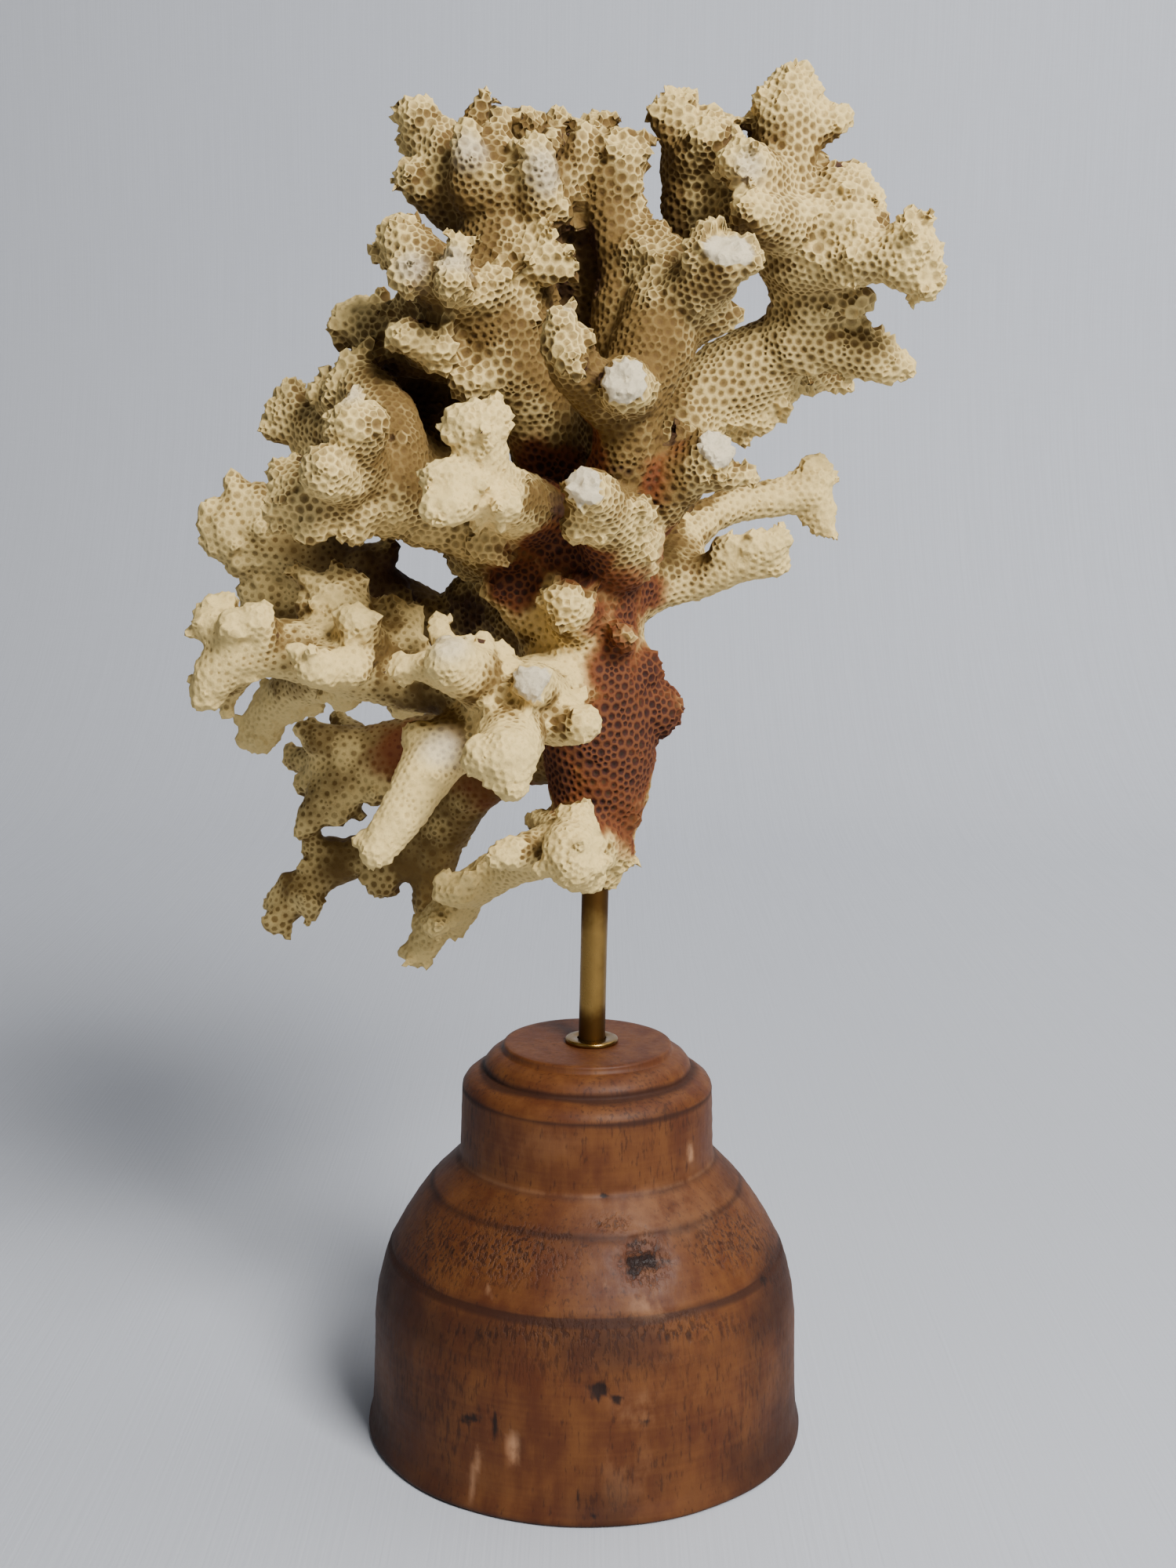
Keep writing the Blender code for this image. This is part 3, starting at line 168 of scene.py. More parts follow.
        "left_nubs": ((605, 618, 34, 4.6), (570, 609, 39, 3.4), (549, 607, 40, 2.4)),
        "lower_lobe": ((600, 628, 35, 4.6), (572, 644, 40, 4.0), (556, 649, 41, 3.0)),
        "right_lobe": ((620, 632, 34, 4.6), (641, 643, 36, 3.6)),
    },
    "coral_upper_left_limb": {
        "pit_web": ((515, 615, 0, 6.4), (528, 560, -9, 6.0), (556, 500, -14, 5.6), (580, 462, -12, 5.2)),
        "pit_web_side": ((570, 600, -6, 5.0), (560, 555, -12, 5.0), (566, 520, -13, 5.0)),
        "back_arm": ((560, 660, 2, 6.2), (562, 662, -18, 5.2), (560, 664, -30, 4.0)),
        "back_arm_tip": ((562, 662, -20, 4.4), (545, 650, -34, 3.2)),
        "arm": ((700, 722, 0, 7.6), (650, 703, 2, 6.8), (590, 672, 6, 6.2), (530, 645, 10, 6.4),
            (480, 628, 14, 7.0), (430, 632, 18, 6.0), (388, 636, 20, 4.6), (360, 640, 20, 3.2)),
        "root_lobe": ((640, 700, 0, 6.4), (597, 712, -8, 4.4)),
        "root_bump": ((650, 690, 6, 6.0), (622, 690, 11, 4.6)),
        "rear_branch": ((500, 620, 14, 6.8), (500, 575, 12, 6.8), (490, 535, 8, 6.4), (468, 500, 5, 5.4),
            (458, 477, 3, 4.0), (455, 462, 2, 2.6)),
        "rear_spur": ((468, 498, 4, 4.0), (442, 471, 2, 2.6)),
        "rear_knob": ((462, 505, 5, 4.2), (434, 490, 3, 3.2)),
        "rear_left_knob": ((465, 520, 4, 4.6), (420, 507, -1, 3.4), (403, 499, -2, 2.4)),
        "upright_finger": ((462, 605, 18, 5.6), (458, 570, 26, 4.6), (448, 541, 31, 4.1)),
        "upright_bump": ((462, 565, 27, 4.2), (472, 537, 30, 3.6)),
        "smooth_knob": ((440, 615, 22, 5.0), (415, 600, 31, 4.6)),
        "left_spur": ((392, 625, 20, 4.6), (364, 613, 18, 3.4), (355, 594, 17, 2.1)),
        "left_lobe": ((395, 645, 20, 4.4), (360, 655, 18, 3.2)),
        "low_bud": ((400, 655, 20, 4.2), (402, 677, 20, 2.7)),
        "under_lobe": ((455, 650, 17, 5.0), (452, 675, 17, 3.4)),
        "under_bump": ((490, 655, 13, 4.6), (500, 663, 13, 3.4)),
        "left_arm": ((485, 560, 6, 6.2), (440, 555, -4, 5.8), (402, 547, -9, 5.4), (380, 522, -10, 4.4),
            (370, 497, -10, 2.6)),
        "left_arm_bump": ((385, 537, -10, 4.2), (354, 521, -10, 2.8)),
        "left_arm_tip": ((388, 550, -10, 4.2), (348, 548, -10, 2.4), (339, 541, -10, 1.5)),
        "left_arm_knob": ((400, 552, -9, 4.4), (387, 575, -9, 2.5)),
        "pit_web_left": ((532, 545, -10, 5.4), (520, 505, -13, 4.2), (518, 480, -13, 3.4)),
        "under_ridge": ((520, 655, 10, 5.2), (535, 668, 9, 4.6)),
    },
    "coral_rear_left_limb": {
        "root_lobe": ((640, 770, -15, 7.0), (598, 765, -18, 5.2)),
        "arm": ((640, 790, -15, 6.6), (565, 792, -20, 5.2), (500, 768, -20, 6.0), (450, 730, -18, 6.4),
            (385, 702, -14, 6.2), (330, 682, -13, 6.0), (292, 668, -12, 4.6), (270, 668, -12, 3.2)),
        "upright_finger": ((325, 672, -12, 4.8), (306, 632, -12, 3.4), (297, 610, -12, 2.1)),
        "upright_root": ((335, 672, -12, 5.2), (328, 642, -12, 4.2)),
        "end_spur": ((292, 658, -12, 3.8), (273, 651, -12, 2.5)),
        "end_lobe": ((295, 680, -12, 4.6), (281, 696, -12, 3.2)),
        "under_lobe": ((330, 695, -13, 5.2), (306, 716, -12, 3.4)),
        "under_knob": ((360, 703, -14, 5.2), (345, 720, -14, 3.8)),
        "low_branch": ((440, 735, -18, 5.8), (385, 768, -18, 5.4), (342, 767, -16, 5.0),
            (324, 754, -15, 3.6)),
        "hole_nub": ((466, 722, -14, 5.0), (489, 710, -13, 3.2), (499, 694, -13, 2.0)),
        "hole_lobe": ((480, 745, -15, 5.0), (503, 752, -14, 3.2), (518, 762, -13, 2.0)),
    },
    "coral_front_left_limb": {
        "root": ((728, 885, 4, 9.0), (685, 887, 12, 7.6), (640, 890, 18, 6.8)),
        "forearm": ((640, 885, 19, 6.0), (602, 862, 28, 5.2), (572, 846, 35, 4.6)),
        "ledge": ((590, 862, 27, 4.4), (545, 851, 28, 3.1), (510, 852, 26, 2.5)),
        "first_finger": ((620, 872, 24, 4.0), (620, 836, 24, 2.5), (617, 813, 24, 1.8)),
        "second_finger": ((645, 880, 22, 4.0), (645, 846, 22, 2.7), (641, 827, 22, 1.9)),
        "left_finger": ((585, 852, 28, 3.6), (563, 813, 23, 2.6), (558, 791, 22, 1.9)),
        "long_finger": ((640, 900, 18, 6.4), (602, 935, 18, 6.0), (562, 958, 22, 5.8),
            (535, 1002, 26, 5.0), (508, 1046, 29, 4.3), (479, 1085, 31, 3.4)),
        "finger_corner": ((560, 950, 22, 4.6), (535, 940, 22, 3.4), (518, 936, 21, 1.6)),
        "front_knob": ((655, 905, 19, 6.6), (648, 948, 32, 6.2), (645, 968, 39, 5.6)),
        "front_knob_tip": ((645, 965, 40, 5.2), (653, 1000, 41, 3.4)),
        "front_knob_side": ((645, 960, 38, 5.0), (615, 965, 40, 4.0)),
        "right_stub": ((690, 905, 14, 6.4), (722, 920, 23, 4.7), (742, 925, 26, 3.7)),
        "broken_disc": ((690, 890, 14, 6.0), (682, 876, 26, 4.5), (677, 870, 33, 3.3)),
    },
    "coral_long_left_limb": {
        "arm": ((618, 884, 14, 6.4), (560, 872, 12, 6.0), (510, 862, 12, 6.2), (460, 848, 14, 6.6),
            (400, 832, 16, 5.8), (345, 826, 18, 5.4), (305, 832, 20, 5.0), (275, 862, 20, 4.4),
            (259, 888, 20, 3.0)),
        "end_upper": ((312, 825, 20, 5.0), (282, 802, 18, 4.4), (266, 787, 17, 3.2)),
        "end_finger": ((290, 800, 18, 3.8), (285, 771, 16, 2.6)),
        "end_front": ((332, 820, 20, 4.8), (326, 791, 24, 3.6)),
        "end_bud": ((300, 812, 22, 3.8), (296, 793, 24, 2.8)),
        "ledge": ((430, 848, 18, 5.2), (412, 853, 26, 4.2), (397, 854, 28, 3.2)),
        "ledge_bump": ((440, 846, 18, 5.0), (446, 851, 24, 4.0)),
        "raised_knob": ((462, 835, 16, 5.4), (456, 800, 22, 4.2), (453, 793, 24, 3.6)),
        "upper_branch": ((470, 830, 14, 5.4), (446, 792, 12, 5.2), (426, 767, 11, 5.0)),
        "upper_left": ((426, 767, 11, 4.2), (392, 740, 10, 2.6), (376, 725, 10, 1.7)),
        "upper_tip": ((430, 767, 11, 4.0), (431, 740, 10, 2.4), (430, 723, 10, 1.5)),
        "upper_side": ((420, 777, 12, 4.0), (395, 776, 12, 2.3), (384, 778, 12, 1.6)),
        "upper_right": ((442, 776, 11, 4.0), (458, 753, 10, 2.4), (464, 739, 10, 1.5)),
        "middle_finger": ((515, 850, 12, 5.2), (512, 812, 11, 4.0), (507, 780, 10, 2.5),
            (500, 765, 10, 1.6)),
        "middle_spur": ((513, 814, 11, 3.6), (528, 786, 8, 2.3), (531, 775, 8, 1.5)),
        "under_nub": ((450, 856, 12, 5.2), (440, 884, 8, 3.8)),
        "dark_lobe": ((530, 872, 8, 5.0), (513, 896, 2, 3.4)),
        "hanging_branch": ((440, 850, 8, 5.2), (385, 873, -4, 4.8), (346, 905, -10, 4.4),
            (333, 937, -12, 4.0)),
        "hanging_right": ((375, 887, -6, 4.2), (398, 899, -8, 2.8)),
        "hanging_left": ((360, 892, -8, 4.2), (373, 907, -8, 2.8)),
        "end_under": ((302, 850, 14, 4.2), (283, 890, 8, 2.6)),
        "hanging_nub": ((362, 893, -8, 3.8), (340, 884, -10, 2.2)),
        "hanging_end": ((335, 932, -12, 3.6), (318, 944, -12, 2.0)),
    },
    "coral_lower_front_limb": {
        "arm": ((752, 1076, 7, 6.2), (722, 1080, 13, 5.8), (690, 1088, 10, 5.0), (655, 1100, 4, 4.6),
            (620, 1120, -3, 4.2), (588, 1145, -8, 4.0), (560, 1173, -11, 3.8), (541, 1205, -12, 3.6),
            (532, 1221, -12, 2.5)),
        "front_knob": ((735, 1068, 14, 5.0), (727, 1082, 22, 5.2), (730, 1100, 24, 4.8)),
        "front_knob_foot": ((732, 1104, 22, 4.6), (748, 1116, 18, 3.8)),
        "upper_ridge": ((735, 1065, 14, 4.4), (737, 1046, 17, 3.4)),
        "left_finger": ((690, 1086, 12, 4.2), (657, 1088, 17, 3.6), (636, 1092, 18, 2.8)),
        "rear_lobe": ((712, 1062, 6, 4.0), (690, 1048, 0, 2.6), (677, 1046, -1, 1.7)),
        "side_lobe": ((600, 1132, -4, 4.0), (581, 1138, 2, 3.4)),
        "end_bump": ((575, 1162, -6, 3.6), (557, 1180, -3, 2.8)),
        "end_nub": ((590, 1163, -8, 3.6), (577, 1185, -9, 2.4)),
    },
    "coral_lower_left_limb": {
        "arm": ((705, 955, -9, 7.0), (652, 968, -15, 5.8), (604, 1006, -19, 5.4), (565, 1058, -23, 5.6),
            (520, 1095, -25, 4.8), (460, 1091, -27, 4.4), (417, 1107, -27, 4.4), (377, 1147, -25, 3.8),
            (351, 1177, -24, 2.7)),
        "under_tip": ((500, 1099, -25, 4.2), (485, 1130, -24, 3.0)),
        "left_nub": ((422, 1091, -27, 4.0), (397, 1079, -27, 2.8)),
        "end_bump": ((382, 1140, -24, 3.6), (396, 1154, -22, 2.6)),
        "end_spur": ((372, 1131, -26, 3.4), (350, 1144, -26, 2.2)),
        "cross_branch": ((558, 1085, -23, 5.0), (550, 1130, -24, 4.2), (546, 1162, -24, 3.2)),
    },
    "coral_lower_rear_limb": {
        "arm": ((655, 930, -18, 6.4), (595, 936, -25, 5.8), (540, 945, -27, 5.8), (500, 956, -28, 6.0),
            (450, 968, -29, 6.0), (422, 978, -29, 5.0)),
        "upper_tip": ((445, 955, -28, 5.0), (406, 943, -27, 3.8), (385, 928, -27, 2.0)),
        "down_finger": ((440, 987, -27, 5.4), (416, 1020, -25, 4.6), (394, 1045, -24, 3.2),
            (386, 1061, -24, 2.1)),
        "second_down_finger": ((440, 1002, -26, 4.6), (433, 1040, -24, 2.7)),
        "third_down_finger": ((482, 975, -26, 4.6), (479, 1009, -24, 3.4)),
        "rear_spur": ((410, 972, -34, 4.2), (374, 969, -38, 2.6)),
        "rear_upper_spur": ((450, 945, -33, 4.4), (431, 918, -36, 2.2)),
        "left_bump": ((408, 992, -30, 4.0), (388, 1000, -31, 2.8)),
    },
    "coral_right_arms": {
        "near_arm": ((795, 740, -5, 9.0), (848, 735, -7, 6.2), (888, 738, -6, 4.2), (920, 725, -4, 4.3),
            (958, 711, -2, 4.0), (985, 695, 0, 3.1), (1001, 690, 0, 2.2)),
        "near_end": ((950, 716, -3, 4.2), (984, 716, -2, 3.2), (996, 713, -2, 2.1)),
        "near_bud": ((925, 706, -2, 3.6), (931, 694, 0, 2.1)),
        "near_spur": ((957, 697, 0, 3.0), (966, 682, 0, 2.0)),
        "pale_arm": ((862, 722, -10, 5.4), (872, 690, -16, 4.4), (898, 660, -20, 3.9),
            (935, 645, -23, 3.8), (980, 637, -25, 3.8), (1018, 629, -26, 4.4), (1040, 613, -26, 4.2),
            (1045, 600, -26, 3.2)),
        "pale_tip": ((1036, 607, -26, 3.2), (1036, 587, -26, 1.7)),
        "pale_side_tip": ((1040, 611, -26, 3.4), (1055, 599, -26, 2.1)),
        "pale_under_lobe": ((1035, 630, -26, 4.2), (1050, 649, -26, 3.2), (1045, 672, -26, 2.5)),
        "pale_bud": ((1012, 630, -26, 3.4), (1008, 617, -26, 1.9)),
    },
    "coral_right_crown_limb": {
        "stem": ((800, 648, -8, 7.6), (850, 580, -14, 7.4), (885, 518, -18, 7.8), (930, 487, -19, 8.6),
            (975, 462, -18, 8.0), (1010, 425, -16, 5.8), (1016, 375, -12, 5.0), (1004, 320, -8, 6.8),
            (994, 262, -6, 7.2), (1000, 205, -6, 6.0), (1008, 160, -6, 5.8), (1008, 122, -6, 4.6),
            (1001, 100, -6, 2.8)),
        "under_left_tip": ((950, 507, -19, 6.0), (968, 535, -19, 3.2)),
        "back_arm": ((930, 482, -19, 7.2), (932, 464, -36, 5.6), (940, 448, -47, 3.8)),
        "back_arm_tip": ((932, 464, -36, 4.8), (912, 478, -47, 3.4)),
        "under_right_tip": ((970, 495, -19, 5.6), (995, 523, -19, 2.6)),
        "under_root_tip": ((920, 512, -19, 6.0), (925, 534, -19, 3.4)),
        "under_spur": ((985, 482, -19, 5.0), (1007, 503, -19, 2.4)),
        "rear_finger": ((1000, 470, -23, 5.0), (1045, 477, -28, 3.4), (1077, 490, -29, 2.1)),
        "rear_finger_bud": ((1045, 477, -28, 3.0), (1052, 463, -28, 2.3)),
        "low_arm": ((1010, 440, -14, 6.4), (1060, 441, -12, 5.2), (1105, 456, -10, 4.4),
            (1140, 466, -10, 3.4), (1156, 471, -10, 2.4)),
        "low_arm_spur": ((1090, 446, -10, 3.6), (1117, 428, -10, 1.8)),
        "low_arm_second_spur": ((1110, 451, -10, 3.4), (1136, 438, -10, 1.8)),
        "low_arm_under": ((1120, 466, -10, 3.6), (1135, 480, -10, 2.4)),
        "low_arm_bud": ((1060, 431, -12, 3.6), (1080, 417, -12, 2.3)),
        "short_finger": ((1030, 392, -10, 5.0), (1070, 384, -8, 3.8), (1098, 383, -6, 3.0)),
        "right_arm": ((1020, 330, -6, 6.6), (1065, 332, -2, 5.6), (1105, 330, 2, 4.8),
            (1135, 326, 4, 4.6), (1160, 322, 5, 5.2)),
        "right_fan": ((1160, 310, 5, 4.8), (1169, 290, 5, 3.2), (1172, 278, 5, 1.9)),
        "fan_side": ((1160, 325, 5, 4.6), (1182, 319, 5, 3.2)),
        "fan_low": ((1157, 335, 5, 4.6), (1183, 346, 5, 3.0)),
        "fan_under": ((1150, 340, 5, 4.2), (1179, 368, 5, 2.8)),
        "fan_root": ((1155, 316, 5, 4.0), (1150, 302, 4, 3.2)),
        "upper_right_lobe": ((1010, 290, -6, 6.8), (1050, 271, -4, 6.2), (1080, 247, -4, 5.4),
            (1090, 227, -5, 3.6)),
        "lobe_left": ((1060, 262, -3, 4.6), (1060, 232, -3, 2.8), (1064, 216, -3, 1.8)),
        "lobe_right": ((1075, 260, -3, 4.8), (1106, 256, -3, 3.6)),
        "lobe_outer": ((1080, 276, -2, 4.8), (1110, 285, -1, 3.8)),
        "lobe_under": ((1060, 292, -2, 5.4), (1098, 305, 1, 4.4)),
        "top_right": ((1008, 152, -6, 5.2), (1029, 120, -6, 3.2)),
        "top_bump": ((1005, 114, -6, 4.0), (1023, 102, -6, 2.8)),
        "top_left": ((1000, 152, -6, 5.4), (977, 136, -7, 3.2)),
        "top_spur": ((985, 187, -8, 4.4), (966, 160, -10, 2.6), (954, 149, -11, 1.5)),
        "top_finger": ((1015, 177, -6, 4.6), (1048, 163, -6, 3.2), (1075, 149, -6, 2.5)),
        "top_finger_nub": ((1045, 166, -6, 2.5), (1071, 168, -6, 1.5)),
        "front_bump": ((1000, 287, 0, 6.0), (967, 276, 6, 4.4), (952, 270, 8, 3.4)),
        "second_front_bump": ((985, 237, -2, 5.4), (955, 214, 3, 5.0), (938, 206, 5, 4.0)),
        "web": ((968, 272, -6, 6.2), (930, 268, -11, 5.6)),
        "dark_stem": ((888, 312, -14, 5.4), (884, 268, -14, 6.0), (880, 215, -12, 5.6),
            (870, 170, -11, 4.2), (866, 137, -11, 3.4)),
        "dark_web": ((930, 268, -11, 5.6), (895, 262, -13, 5.4)),
        "dark_stem_left": ((865, 142, -11, 2.8), (854, 121, -11, 1.7)),
        "dark_stem_right": ((866, 142, -11, 2.8), (880, 123, -11, 2.1)),
        "dark_stem_nub": ((865, 174, -11, 3.8), (843, 149, -11, 2.6), (837, 141, -11, 1.9)),
        "dark_lobe": ((885, 200, -9, 5.0), (906, 182, -6, 4.4)),
        "dark_finger": ((900, 186, -8, 3.8), (918, 169, -9, 3.0), (934, 161, -10, 2.1)),
        "dark_top_finger": ((896, 178, -9, 3.4), (900, 147, -10, 2.1)),
    },
    "coral_rear_low_limb": {
        "stem": ((768, 905, -6, 8.0), (765, 890, -24, 6.6), (755, 905, -36, 5.4)),
        "left_tip": ((755, 903, -35, 4.8), (728, 930, -48, 4.0), (715, 940, -54, 2.8)),
        "right_tip": ((762, 895, -34, 4.8), (782, 872, -50, 4.0), (780, 850, -56, 2.6)),
        "under_tip": ((755, 905, -36, 4.6), (765, 940, -50, 3.6)),
        "upper_tip": ((760, 895, -34, 4.4), (740, 865, -46, 3.4)),
        "left_knob": ((728, 930, -46, 3.8), (706, 912, -52, 2.8)),
        "right_knob": ((782, 872, -46, 4.0), (806, 880, -52, 3.0)),
        "side_arm": ((765, 892, -26, 5.2), (800, 905, -34, 4.0), (812, 915, -40, 2.6)),
    },
    "coral_rear_middle_limb": {
        "stem": ((740, 715, -6, 8.4), (732, 690, -26, 7.2), (722, 662, -40, 6.4)),
        "left_tip": ((722, 662, -40, 5.4), (690, 645, -54, 4.4), (676, 630, -60, 3.0)),
        "upper_tip": ((724, 660, -40, 5.4), (745, 620, -56, 4.4), (750, 596, -62, 3.0)),
        "under_tip": ((722, 668, -38, 5.0), (700, 700, -54, 3.8)),
        "right_tip": ((726, 665, -40, 5.0), (765, 665, -54, 4.0), (780, 672, -60, 2.6)),
        "top_tip": ((720, 655, -42, 5.0), (716, 605, -50, 4.0)),
        "left_knob": ((690, 645, -52, 4.2), (668, 668, -56, 3.0)),
        "upper_knob": ((745, 622, -54, 4.2), (772, 608, -60, 3.0)),
        "right_knob": ((765, 665, -52, 4.0), (788, 690, -56, 3.0)),
        "side_arm": ((730, 680, -26, 6.0), (690, 690, -36, 4.6), (668, 702, -42, 3.2)),
    },
    "coral_rear_upper_limb": {
        "stem": ((655, 470, -4, 8.6), (655, 440, -24, 7.0), (650, 405, -38, 6.2)),
        "left_tip": ((650, 405, -38, 5.4), (618, 385, -52, 4.2), (605, 372, -58, 2.8)),
        "upper_tip": ((652, 402, -38, 5.4), (664, 355, -54, 4.4), (668, 335, -60, 3.0)),
        "right_tip": ((655, 410, -38, 5.0), (692, 405, -52, 4.0)),
        "under_tip": ((648, 415, -36, 5.0), (630, 445, -50, 4.0), (618, 455, -56, 2.8)),
        "top_tip": ((650, 400, -36, 5.0), (642, 335, -46, 4.2), (634, 315, -48, 2.8)),
        "upper_knob": ((664, 355, -52, 4.2), (690, 340, -56, 3.0)),
        "right_knob": ((692, 405, -50, 4.0), (705, 430, -56, 3.0)),
        "low_arm": ((655, 430, -26, 5.6), (625, 480, -34, 4.4), (612, 505, -38, 3.2)),
        "low_right_arm": ((650, 440, -22, 6.0), (690, 470, -34, 4.6), (700, 490, -42, 3.4)),
    },
}


class Face(Enum):
    """How a place on the coral was left."""

    WORN = "worn"
    BROKEN = "broken"


@dataclass(frozen=True)
class Viewpoint:
    """Where the object was seen from, in millimetres and units of the photographed frame."""

    across: float = -0.4
    back: float = 364.5
    height: float = 187.3
    pitch: float = math.radians(9.7)
    roll: float = math.radians(0.55)
    focal: float = 2550.0
    centre_across: float = 750.0
    centre_down: float = 1000.0
    frame_height: float = 2000.0

    def axes(self) -> tuple[np.ndarray, np.ndarray, np.ndarray]:
        """Returns the forward, right and up directions."""
        forward = np.array([0.0, math.cos(self.pitch), -math.sin(self.pitch)])
        level_up = np.array([0.0, math.sin(self.pitch), math.cos(self.pitch)])
        level_right = np.array([1.0, 0.0, 0.0])
        right = level_right * math.cos(self.roll) + level_up * math.sin(self.roll)
        up = level_up * math.cos(self.roll) - level_right * math.sin(self.roll)
        return forward, right, up

    def eye(self) -> np.ndarray:
        """Returns the eye's place in millimetres."""
        return np.array([self.across, -self.back, self.height])

    def point(self, across: float, down: float, toward: float) -> np.ndarray:
        """Finds a place from where it is seen.

        Args:
            across: Distance across the frame.
            down: Distance down the frame.
            toward: How far it stands towards the viewer from the axis, in millimetres.

        Returns:
            The place in millimetres.
        """
        forward, right, up = self.axes()
        ray = forward + right * ((across - self.centre_across) / self.focal)
        ray = ray - up * ((down - self.centre_down) / self.focal)
        return self.eye() + ray * ((-toward + self.back) / ray[1])

    def project(self, points: np.ndarray) -> np.ndarray:
        """Finds where places in millimetres are seen.

        Args:
            points: Rows of x, y, z.

        Returns:
            Rows of across and down.
        """
        forward, right, up = self.axes()
        away = points - self.eye()
        depth = away @ forward
        across = self.centre_across + self.focal * (away @ right) / depth
        down = self.centre_down - self.focal * (away @ up) / depth
        return np.stack([across, down], axis=1)

    def make_camera(self) -> bpy.types.Object:
        """Makes the camera and returns it."""
        data = bpy.data.cameras.new("photo_camera")
        data.sensor_fit = "VERTICAL"
        data.sensor_height = 36.0
        data.lens = data.sensor_height * self.focal / self.frame_height
        data.clip_start = 0.01
        camera = bpy.data.objects.new("photo_camera", data)
        bpy.context.scene.collection.objects.link(camera)
        forward, right, up = self.axes()
        for row in range(3):
            camera.matrix_world[row][0] = right[row]
            camera.matrix_world[row][1] = up[row]
            camera.matrix_world[row][2] = -forward[row]
            camera.matrix_world[row][3] = self.eye()[row] * MM
        bpy.context.scene.camera = camera
        return camera


VIEW = Viewpoint()


def smoothstep(values: np.ndarray, low: float, high: float) -> np.ndarray:
    """Eases values from 0 at low to 1 at high, and returns them."""
    ramp = np.clip((values - low) / (high - low), 0.0, 1.0)
    return ramp * ramp * (3.0 - 2.0 * ramp)


def unit_rows(rows: np.ndarray) -> np.ndarray:
    """Returns the rows scaled to length 1."""
    return rows / np.maximum(np.linalg.norm(rows, axis=1, keepdims=True), 1e-12)


def cloud(points: np.ndarray, size: float, seed: float) -> np.ndarray:
    """Smooth noise about -1 to 1 at places in millimetres.

    Args:
        points: Rows of x, y, z.
        size: Size of one lump, in millimetres.
        seed: Shifts the pattern.

    Returns:
        One value for each row.
    """
    spots = points / size + seed
    return np.array([noise.noise(spot) for spot in spots.tolist()])


def new_piece(name: str, verts: np.ndarray, faces: list, nodes: list[str]) -> bpy.types.Object:
    """Makes one visible piece from its mesh.

    Args:
        name: The piece's name.
        verts: Rows of x, y, z in millimetres.
        faces: Rows of vertex numbers.
        nodes: The solids it stands for.

    Returns:
        The new object.
    """
    mesh = bpy.data.meshes.new(name)
    mesh.from_pydata((verts * MM).tolist(), [], faces)
    mesh.update()
    mesh.shade_smooth()
    piece = bpy.data.objects.new(name, mesh)
    bpy.context.scene.collection.objects.link(piece)
    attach(piece, ROOT_BODY)
    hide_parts(*nodes)
    return piece


def paint(piece: bpy.types.Object, name: str, values: np.ndarray) -> None:
    """Writes one number for each vertex of a piece.

    Args:
        piece: The piece.
        name: Name of the layer.
        values: One value for each vertex.
    """
    layer = piece.data.attributes.new(name, "FLOAT", "POINT")
    layer.data.foreach_set("value", np.ascontiguousarray(values, dtype=np.float32))


